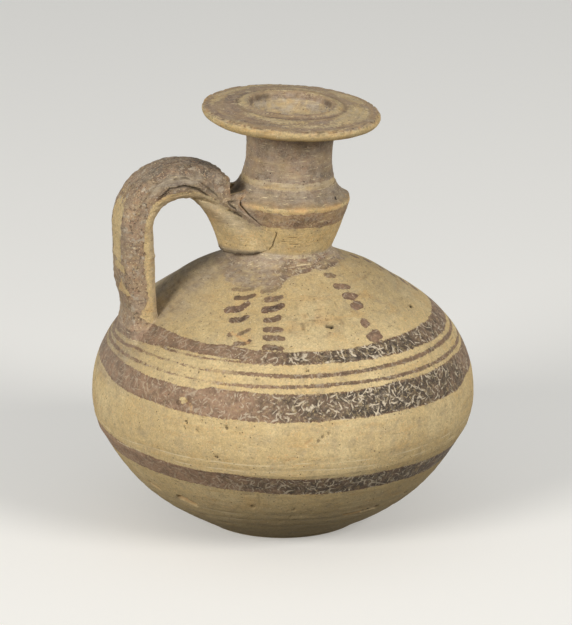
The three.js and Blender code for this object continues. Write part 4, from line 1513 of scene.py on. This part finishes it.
class Nodes:
    """A material's nodes; a value is a number, a colour or another node's output."""

    def __init__(self, name):
        self.material = bpy.data.materials.new(name)
        self.material.use_nodes = True
        self.tree = self.material.node_tree
        self.tree.nodes.clear()

    def put(self, socket, value):
        if isinstance(value, bpy.types.NodeSocket):
            self.tree.links.new(value, socket)
        else:
            socket.default_value = value

    def add(self, kind, inputs, **settings):
        node = self.tree.nodes.new(kind)
        for key, value in settings.items():
            setattr(node, key, value)
        for key, value in inputs.items():
            self.put(node.inputs[key], value)
        return node

    def math(self, operation, a, b=0.0, clamp=False):
        return self.add("ShaderNodeMath", {0: a, 1: b}, operation=operation, use_clamp=clamp).outputs[0]

    def times(self, a, b, clamp=False):
        return self.math("MULTIPLY", a, b, clamp)

    def most(self, a, b):
        return self.math("MAXIMUM", a, b)

    def vector(self, operation, a, b=(0.0, 0.0, 0.0)):
        node = self.add("ShaderNodeVectorMath", {0: a, 1: b}, operation=operation)
        return node.outputs["Value" if operation in ("DOT_PRODUCT", "LENGTH", "DISTANCE") else "Vector"]

    def moved(self, place, step, times=1):
        return self.vector("ADD", place, tuple(value * times for value in step))

    def ramp(self, value, low, high, to_low=0.0, to_high=1.0):
        inputs = {"Value": value, "From Min": low, "From Max": high, "To Min": to_low, "To Max": to_high}
        return self.add("ShaderNodeMapRange", inputs, interpolation_type="SMOOTHSTEP").outputs["Result"]

    def blend(self, share, a, b):
        return self.add("ShaderNodeMix", {0: share, 6: a, 7: b}, data_type="RGBA").outputs[2]

    def noise(self, place, size, detail=3.0, roughness=0.55):
        inputs = {"Vector": place, "Scale": 1 / size, "Detail": detail, "Roughness": roughness}
        return self.add("ShaderNodeTexNoise", inputs).outputs[0]

    def patches(self, place, grain, *limits):
        """Noise of a size, detail and roughness, as a ramp between limits shows it."""
        return self.ramp(self.noise(place, *grain), *limits)

    def field(self, name):
        return self.add("ShaderNodeAttribute", {}, attribute_name=name).outputs["Fac"]

    def surface(self, shader, output="ShaderNodeOutputMaterial"):
        self.put(self.add(output, {}).inputs["Surface"], shader.outputs[0])


def millimetres(nodes):
    """Places on the pot in millimetres."""
    place = nodes.add("ShaderNodeTexCoord", {}).outputs["Object"]
    return nodes.vector("MULTIPLY", place, (1 / METRE,) * 3)


# Straight scratches in the paint: cell, half width and half length of each kind
SCRATCHES = ((2.9, 0.24, 1.8), (1.9, 0.18, 1.1))
# Winding marks in the paint: the size of their turns and their half width as a share of it
WINDINGS = ((3.2, 0.036),)


def scratch_layer(nodes, place, cell, width, length, seed):
    """Fine bent scratches at all angles along the skin, one to a cell."""
    moved = nodes.moved(place, (7.3, 3.1, 5.7), seed)
    bent = nodes.vector("ADD", moved, nodes.vector("MULTIPLY", bend_of(nodes, moved), (1.1, 1.1, 1.1)))
    cells = nodes.add("ShaderNodeTexVoronoi", {"Vector": bent, "Scale": 1 / cell})
    local = nodes.vector("SUBTRACT", bent, cells.outputs["Position"])
    turn = nodes.vector("SUBTRACT", cells.outputs["Color"], (0.5, 0.5, 0.5))
    normal = nodes.add("ShaderNodeNewGeometry", {}).outputs["Normal"]
    side = nodes.vector("NORMALIZE", nodes.vector("CROSS_PRODUCT", normal, turn))
    off = nodes.math("ABSOLUTE", nodes.vector("DOT_PRODUCT", local, side))
    reach = nodes.ramp(nodes.vector("LENGTH", local), length, length * 0.7)
    return nodes.times(nodes.ramp(off, width, width * 0.4), reach)


def bend_of(nodes, place):
    """A slow wander that keeps scratches from being straight."""
    inputs = {"Vector": place, "Scale": 0.7, "Detail": 1.0}
    colour = nodes.add("ShaderNodeTexNoise", inputs).outputs["Color"]
    return nodes.vector("SUBTRACT", colour, (0.5, 0.5, 0.5))


def winding_layer(nodes, place, size, width, seed):
    """Winding marks like those of fine roots."""
    moved = nodes.moved(place, (11.3, 4.7, 8.9), seed)
    off = nodes.math("ABSOLUTE", nodes.math("SUBTRACT", nodes.noise(moved, size, 1.0, 0.4), 0.5))
    broken = nodes.patches(moved, (size * 0.8, 2.0), 0.44, 0.56)
    return nodes.times(nodes.ramp(off, width, width * 0.4), broken)


def all_scratches(nodes, place):
    """Scratches and winding marks, thick in some places and few in others."""
    total = 0.0
    for seed, sizes in enumerate(SCRATCHES, 1):
        total = nodes.most(total, scratch_layer(nodes, place, *sizes, seed))
    for seed, sizes in enumerate(WINDINGS, 1):
        total = nodes.most(total, winding_layer(nodes, place, *sizes, seed))
    return nodes.times(total, nodes.patches(place, (2.1, 3.0, 0.7), 0.4, 0.54, 0.15, 1.0))


def squeezed(nodes, place):
    """Places whose noise runs in level streaks."""
    return nodes.vector("MULTIPLY", place, (0.1, 0.1, 1.0))


def streaks(nodes, place, size):
    """Level streaks left by turning and brushing."""
    return nodes.noise(squeezed(nodes, place), size, detail=4.0, roughness=0.65)


def dots(nodes, place, cell, radius, share):
    """Small round spots, in a share of the cells."""
    cells = nodes.add("ShaderNodeTexVoronoi", {"Vector": place, "Scale": 1 / cell})
    spot = nodes.ramp(cells.outputs["Distance"], radius / cell, radius * 0.5 / cell)
    chance = nodes.vector("DOT_PRODUCT", cells.outputs["Color"], (1.0, 0.0, 0.0))
    return nodes.times(spot, nodes.math("LESS_THAN", chance, share))


def mottled(nodes, place, colour, size, low, high):
    """A colour that is darker and lighter from place to place."""
    return nodes.vector("MULTIPLY", colour, nodes.patches(place, (size, 4.0, 0.8), 0.3, 0.7, low, high))


# Layers over a clay's slip: which of its colours, whether it runs in streaks, the noise's size, detail and
# roughness, and the ramp over the noise
SLIP_LAYERS = (
    ("pale", False, (14.0, 3.0, 0.55), (0.42, 0.7)),
    ("warm", False, (6.5, 4.0, 0.55), (0.5, 0.78, 0.0, 0.65)),
    ("dust", False, (3.1, 5.0, 0.65), (0.46, 0.72, 0.0, 0.75)),
    ("warm", True, (1.3, 4.0, 0.65), (0.52, 0.74, 0.0, 0.5)),
    ("pale", True, (0.6, 4.0, 0.65), (0.52, 0.72, 0.0, 0.55)),
    ("dust", False, (0.9, 4.0, 0.7), (0.45, 0.7, 0.0, 0.55)),
    ("fleck", False, (0.5, 1.0, 0.55), (0.66, 0.76, 0.0, 0.55)),
)


def slip_colour(nodes, place, kind):
    """The pale slip with its warm and dusty places, streaks and flecks."""
    colours = {"pale": kind.pale, "warm": kind.warm, "dust": kind.dust, "fleck": WARM_FLECK}
    colour = kind.slip
    for layer, streaked, grain, limits in SLIP_LAYERS:
        spots = squeezed(nodes, place) if streaked else place
        colour = nodes.blend(nodes.patches(spots, grain, *limits), colour, colours[layer])
    return mottled(nodes, place, mottled(nodes, place, colour, 0.5, 0.82, 1.14), 2.2, 0.92, 1.07)


def film_layer(nodes, place, colour):
    """A grey film of dust, with painted shade and highlights in a few places, over a colour, streaked and
    rubbed.
    """
    rubbed = nodes.ramp(streaks(nodes, place, 0.9), 0.3, 0.7, 0.45, 1.3)
    amount = nodes.times(nodes.field("film"), rubbed, clamp=True)
    light = nodes.math("ADD", streaks(nodes, place, 0.5), nodes.noise(place, 3.0, 4.0, 0.6))
    grey = nodes.blend(nodes.ramp(light, 0.82, 1.2), FILM_DARK, FILM_PALE)
    return nodes.blend(amount, colour, grey)


def hole_marks(nodes, place, holes):
    """Darker spots in small holes, from the middle, radius and darkness of each."""
    wobble = nodes.patches(place, (0.5, 2.0), 0.3, 0.7, -0.12, 0.12)
    total = 0.0
    for middle, radius, dark in holes:
        gap = nodes.math("ADD", nodes.vector("DISTANCE", place, tuple(middle)), wobble)
        total = nodes.most(total, nodes.ramp(gap, radius * 1.1, radius * 0.5, 0.0, dark))
    return total


def holes_of(slot):
    """The small holes in the pieces made of one clay."""
    if slot == "body_clay":
        return [(on_body(turn, height), radius, min(1.0, depth * 1.5))
                for turn, height, radius, depth in BODY_PITS]
    return [(neck_to_pot(on_neck(turn, height)), radius, 1.0) for turn, height, radius in NECK_HOLES]


# Worn flecks in the paint: size, how much noise makes one, and colour
FLECKS = ((0.8, 0.56, RUBBED), (1.7, 0.56, DUST_GREY), (0.45, 0.61, PALE_FLECK), (0.7, 0.56, SPECK))


def flecked(nodes, place, colour, amount):
    """Small worn places: warm clay, pale slip and dark pits."""
    for seed, (size, low, shade) in enumerate(FLECKS):
        mark = nodes.patches(nodes.moved(place, (9.1, 4.3, 6.7), seed), (size, 2.0, 0.6), low, low + 0.08)
        colour = nodes.blend(nodes.times(mark, amount, clamp=True), colour, shade)
    return colour


def brushed(nodes, place, colour, amount):
    """Fine level lines of pale slip."""
    lines = nodes.ramp(streaks(nodes, nodes.moved(place, (5.0, 9.0, 31.0)), 0.3), 0.6, 0.68, 0.0, amount)
    return nodes.blend(lines, colour, PALE_FLECK)


def ridge_highlights(nodes, place, colour):
    """Fine pale lines round the body where a tool was held against the turning clay: a painted highlight on
    their ridges.
    """
    sway = nodes.patches(place, (30.0, 1.0), 0.3, 0.7, -0.5, 0.5)
    height = nodes.math("ADD", nodes.vector("DOT_PRODUCT", place, tuple(UP)), sway)
    for line in TURNED_LINES:
        off = nodes.math("ABSOLUTE", nodes.math("SUBTRACT", height, line))
        moved = nodes.moved(place, (line, line, 0.0))
        broken = nodes.patches(moved, (9.0, 3.0, 0.6), 0.45, 0.6, 0.0, 0.6)
        colour = nodes.blend(nodes.times(nodes.ramp(off, 0.2, 0.06), broken), colour, PALE_FLECK)
    return colour


def dusted(nodes, place, colour):
    """Pale grey dust, with painted shade and highlights in a few places, over slip and paint alike."""
    patchy = nodes.patches(place, (1.6, 5.0, 0.7), 0.35, 0.65, 0.15, 0.65)
    return nodes.blend(nodes.times(nodes.field("film"), patchy, clamp=True), colour, DUST_GREY)


def lined(nodes, place, colour):
    """Fine dark level lines."""
    lines = nodes.ramp(streaks(nodes, place, 0.4), 0.64, 0.7, 0.0, 0.5)
    return mottled(nodes, place, nodes.blend(lines, colour, SPECK), 0.4, 0.9, 1.1)


def shaded(nodes, place, colour, heights, shades, tilt):
    """Painted shade: a colour whose shade changes up the pot, and sooner or later towards the right."""
    height = nodes.vector("DOT_PRODUCT", place, tuple(UP - tilt * RIGHT))
    return nodes.vector("MULTIPLY", colour, nodes.ramp(height, *heights, *shades))


def speckled(nodes, place, colour, specks):
    """Pale spots, and the dark specks given."""
    pale = dots(nodes, nodes.moved(place, (13.0, 7.0, 3.0)), 1.3, 0.2, 0.5)
    colour = nodes.blend(nodes.times(pale, 0.55), colour, PALE_FLECK)
    return nodes.blend(nodes.times(specks, 0.75), colour, SPECK)


def chipped(nodes, place, colour):
    """Fresh clay where the skin is broken."""
    clean = nodes.blend(nodes.patches(place, (0.6,), 0.45, 0.7, 0.0, 0.6), FRESH_CLAY, WARM_FLECK)
    return nodes.blend(nodes.field("fresh"), colour, clean)


def paint_colour(nodes, place, edge):
    """The paint from brown to near black, dark and reddish along its edge."""
    shift = nodes.patches(place, (3.4, 5.0, 0.7), 0.3, 0.7, -0.3, 0.3)
    fine = nodes.patches(place, (0.8, 3.0, 0.7), 0.3, 0.7, -0.2, 0.2)
    tone = nodes.math("ADD", nodes.field("tone"), nodes.math("ADD", shift, fine), clamp=True)
    colour = nodes.blend(tone, PAINT_BROWN, PAINT_DARK)
    rim = nodes.times(nodes.ramp(edge, 0.6, 0.1), nodes.patches(place, (1.2,), 0.4, 0.6, 0.2, 0.8))
    return mottled(nodes, place, nodes.blend(rim, colour, PAINT_EDGE), 0.45, 0.82, 1.16)


def paint_cover(nodes, place, edge):
    """How much paint is left: whole, flaked or rubbed off in pinholes."""
    cover = nodes.times(nodes.ramp(edge, -PAINT_SOFTNESS, PAINT_SOFTNESS), nodes.field("coat"))
    flakes = nodes.patches(place, (1.5, 5.0, 0.7), 0.52, 0.66, 0.0, 0.4)
    pinholes = nodes.patches(place, (0.6, 2.0, 0.6), 0.58, 0.68, 0.0, 0.45)
    lost = nodes.times(nodes.most(flakes, pinholes), nodes.field("wear"))
    return nodes.times(cover, nodes.math("SUBTRACT", 1.0, lost), clamp=True)


def matt_clay(nodes, place, colour, cover, grain_depth, marks):
    """The clay's shader, with its grain and streaks and the marks given with their depths."""
    grain = nodes.noise(place, 0.35, 4.0, 0.7)
    rough = nodes.ramp(nodes.math("SUBTRACT", grain, nodes.times(cover, 0.25)), 0.1, 0.8, 0.62, 0.92)
    height = nodes.times(grain, grain_depth)
    height = nodes.math("ADD", height, nodes.times(streaks(nodes, place, 0.8), 0.07))
    for mark, depth in marks:
        height = nodes.math("SUBTRACT", height, nodes.times(mark, depth))
    bump = nodes.add("ShaderNodeBump", {"Height": height, "Strength": 0.8, "Distance": BUMP_REACH})
    return nodes.add("ShaderNodeBsdfPrincipled", {
        "Base Color": colour, "Roughness": rough, "Normal": bump.outputs[0], "Specular IOR Level": 0.25})


def clay(slot):
    """Fired clay with slip, worn paint, dirt and painted shade in its hollows and fresh clay where it is
    chipped.
    """
    nodes = Nodes(slot)
    place = millimetres(nodes)
    kind = CLAYS[slot]
    ragged = nodes.patches(place, (0.7, 5.0, 0.75), 0.25, 0.75, -0.27, 0.27)
    edge = nodes.math("ADD", nodes.field("edge"), ragged)
    cover = paint_cover(nodes, place, edge)
    worn = nodes.times(nodes.field("wear"), cover)
    scratches = nodes.times(all_scratches(nodes, place), kind.scratches)
    scraped = nodes.times(scratches, worn, clamp=True)
    specks = nodes.most(dots(nodes, place, 1.5, 0.22, 0.55), dots(nodes, place, 0.9, 0.13, 0.4))
    dark_places = nodes.most(nodes.field("hollow"), hole_marks(nodes, place, holes_of(slot)))
    slip = film_layer(nodes, place, slip_colour(nodes, place, kind))
    colour = nodes.blend(cover, slip, paint_colour(nodes, place, edge))
    colour = flecked(nodes, place, colour, nodes.times(worn, kind.flecks))
    colour = dusted(nodes, place, nodes.blend(scraped, colour, SCRATCHED))
    colour = lined(nodes, place, colour)
    # Painted shade: duller up the body's shoulder, and on every clay darker towards the foot
    if slot == "body_clay":
        colour = shaded(nodes, place, ridge_highlights(nodes, place, colour), *PAINTED_SHADE_SHOULDER)
    colour = shaded(nodes, place, brushed(nodes, place, colour, kind.brushed), *PAINTED_SHADE_LOW)
    colour = chipped(nodes, place, speckled(nodes, place, colour, specks))
    # Dirt and painted shade in hollows, cracks, grooves and shaded corners
    colour = nodes.blend(dark_places, colour, SHADE_AND_DIRT_TINT)
    marks = ((scraped, 0.05), (specks, 0.1), (dark_places, 0.2))
    nodes.surface(matt_clay(nodes, place, colour, cover, kind.grain, marks))
    return nodes.material


# Stage

FLOOR_RADIUS = 1.6
FLOOR_COLUMNS = 96
FLOOR_PALE = tint(226, 224, 219)
FLOOR_DIM = (0.07, 0.065, 0.055, 1.0)
FLOOR_GLOW = 0.3
BACKDROP = tint(232, 230, 226)
AMBIENT = (0.9, 0.95, 1.0, 1.0)
AMBIENT_STRENGTH = 0.28


def seen_directly(nodes):
    """1 for rays that show the background itself or its reflection."""
    path = nodes.add("ShaderNodeLightPath", {})
    shown = nodes.most(path.outputs["Is Camera Ray"], path.outputs["Is Glossy Ray"])
    return nodes.most(shown, path.outputs["Is Transmission Ray"])


def floor_material():
    nodes = Nodes("pale_floor")
    shown = seen_directly(nodes)
    nodes.surface(nodes.add("ShaderNodeBsdfPrincipled", {
        "Base Color": nodes.blend(shown, FLOOR_DIM, FLOOR_PALE), "Emission Color": FLOOR_PALE,
        "Emission Strength": nodes.times(shown, FLOOR_GLOW), "Roughness": 0.9, "Specular IOR Level": 0.1}))
    return nodes.material


def add_floor():
    turns = np.linspace(0, 2 * math.pi, FLOOR_COLUMNS, endpoint=False)
    ring = [(FLOOR_RADIUS * math.cos(turn), FLOOR_RADIUS * math.sin(turn), 0.0) for turn in turns]
    mesh = bpy.data.meshes.new("floor")
    mesh.from_pydata(ring, [], [list(range(FLOOR_COLUMNS))])
    mesh.materials.append(floor_material())
    floor = bpy.data.objects.new("floor", mesh)
    bpy.context.scene.collection.objects.link(floor)


class WorldNodes(Nodes):
    def __init__(self, name):
        world = bpy.data.worlds.new(name)
        world.use_nodes = True
        bpy.context.scene.world = world
        self.tree = world.node_tree
        self.tree.nodes.clear()


def light_world():
    nodes = WorldNodes("studio")
    ambient = nodes.add("ShaderNodeBackground", {"Color": AMBIENT, "Strength": AMBIENT_STRENGTH})
    backdrop = nodes.add("ShaderNodeBackground", {"Color": BACKDROP, "Strength": 1.0})
    nodes.surface(nodes.add("ShaderNodeMixShader", {
        0: seen_directly(nodes), 1: ambient.outputs[0], 2: backdrop.outputs[0]}), "ShaderNodeOutputWorld")


def aimed(name, data, bearing, elevation, distance):
    """A lamp or camera that looks at the pot's middle from a distance in metres."""
    rise = math.radians(elevation)
    out = Vector(heading(bearing)) * math.cos(rise) + Vector((0, 0, math.sin(rise)))
    thing = bpy.data.objects.new(name, data)
    thing.location = Vector((0, 0, AIM_HEIGHT * METRE)) + out * distance
    thing.rotation_mode = "QUATERNION"
    thing.rotation_quaternion = out.to_track_quat("Z", "Y")
    bpy.context.scene.collection.objects.link(thing)
    return thing


# Lamps: bearing from the camera, elevation, distance and size in metres, power and colour
LAMPS = (
    ("key", -43.0, 23.0, 1.4, 0.6, 13.9, (1.0, 0.98, 0.95)),
    ("fill", 50.0, 27.0, 1.4, 0.6, 11.7, (1.0, 0.98, 0.95)),
)


def add_lamps():
    for name, bearing, elevation, distance, size, power, colour in LAMPS:
        data = bpy.data.lights.new(name, "AREA")
        data.shape = "DISK"
        data.size = size
        data.energy = power
        data.color = colour
        aimed(name, data, bearing, elevation, distance)


SENSOR = 36.0


def add_camera():
    long_side = max(IMAGE_WIDTH, IMAGE_HEIGHT)
    data = bpy.data.cameras.new("camera")
    data.sensor_width = SENSOR
    data.lens = CAMERA_DISTANCE / PIXEL_SIZE / long_side * SENSOR
    data.shift_x = (IMAGE_WIDTH / 2 - AIM_PIXEL[0]) / long_side
    data.shift_y = (AIM_PIXEL[1] - IMAGE_HEIGHT / 2) / long_side
    camera = aimed("camera", data, 0.0, CAMERA_ELEVATION, CAMERA_DISTANCE * METRE)
    bpy.context.scene.camera = camera


MAKERS = {
    "lower_body": lower_body,
    "upper_body": upper_body,
    "neck_cup": neck_cup,
    "ridge_luting": ridge_luting,
    "neck_tube": neck_tube,
    "mouth_disc": mouth_disc,
    "neck_luting": neck_luting,
    "handle_strap": handle_strap,
    "handle_root_luting": handle_root_luting,
    "handle_foot_luting": handle_foot_luting,
}


def build_juglet():
    slots = {row["node"]: row["material_slot"] for row in frame["record"]["subparts"]}
    materials = {slot: clay(slot) for slot in CLAYS}
    for node, maker in MAKERS.items():
        piece = maker(node + "_clay", materials[slots[node]])
        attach(piece, "root")
        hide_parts(node)


bpy.context.scene.view_settings.view_transform = "Standard"
build_juglet()
add_floor()
light_world()
add_lamps()
add_camera()
bpy.context.view_layer.update()
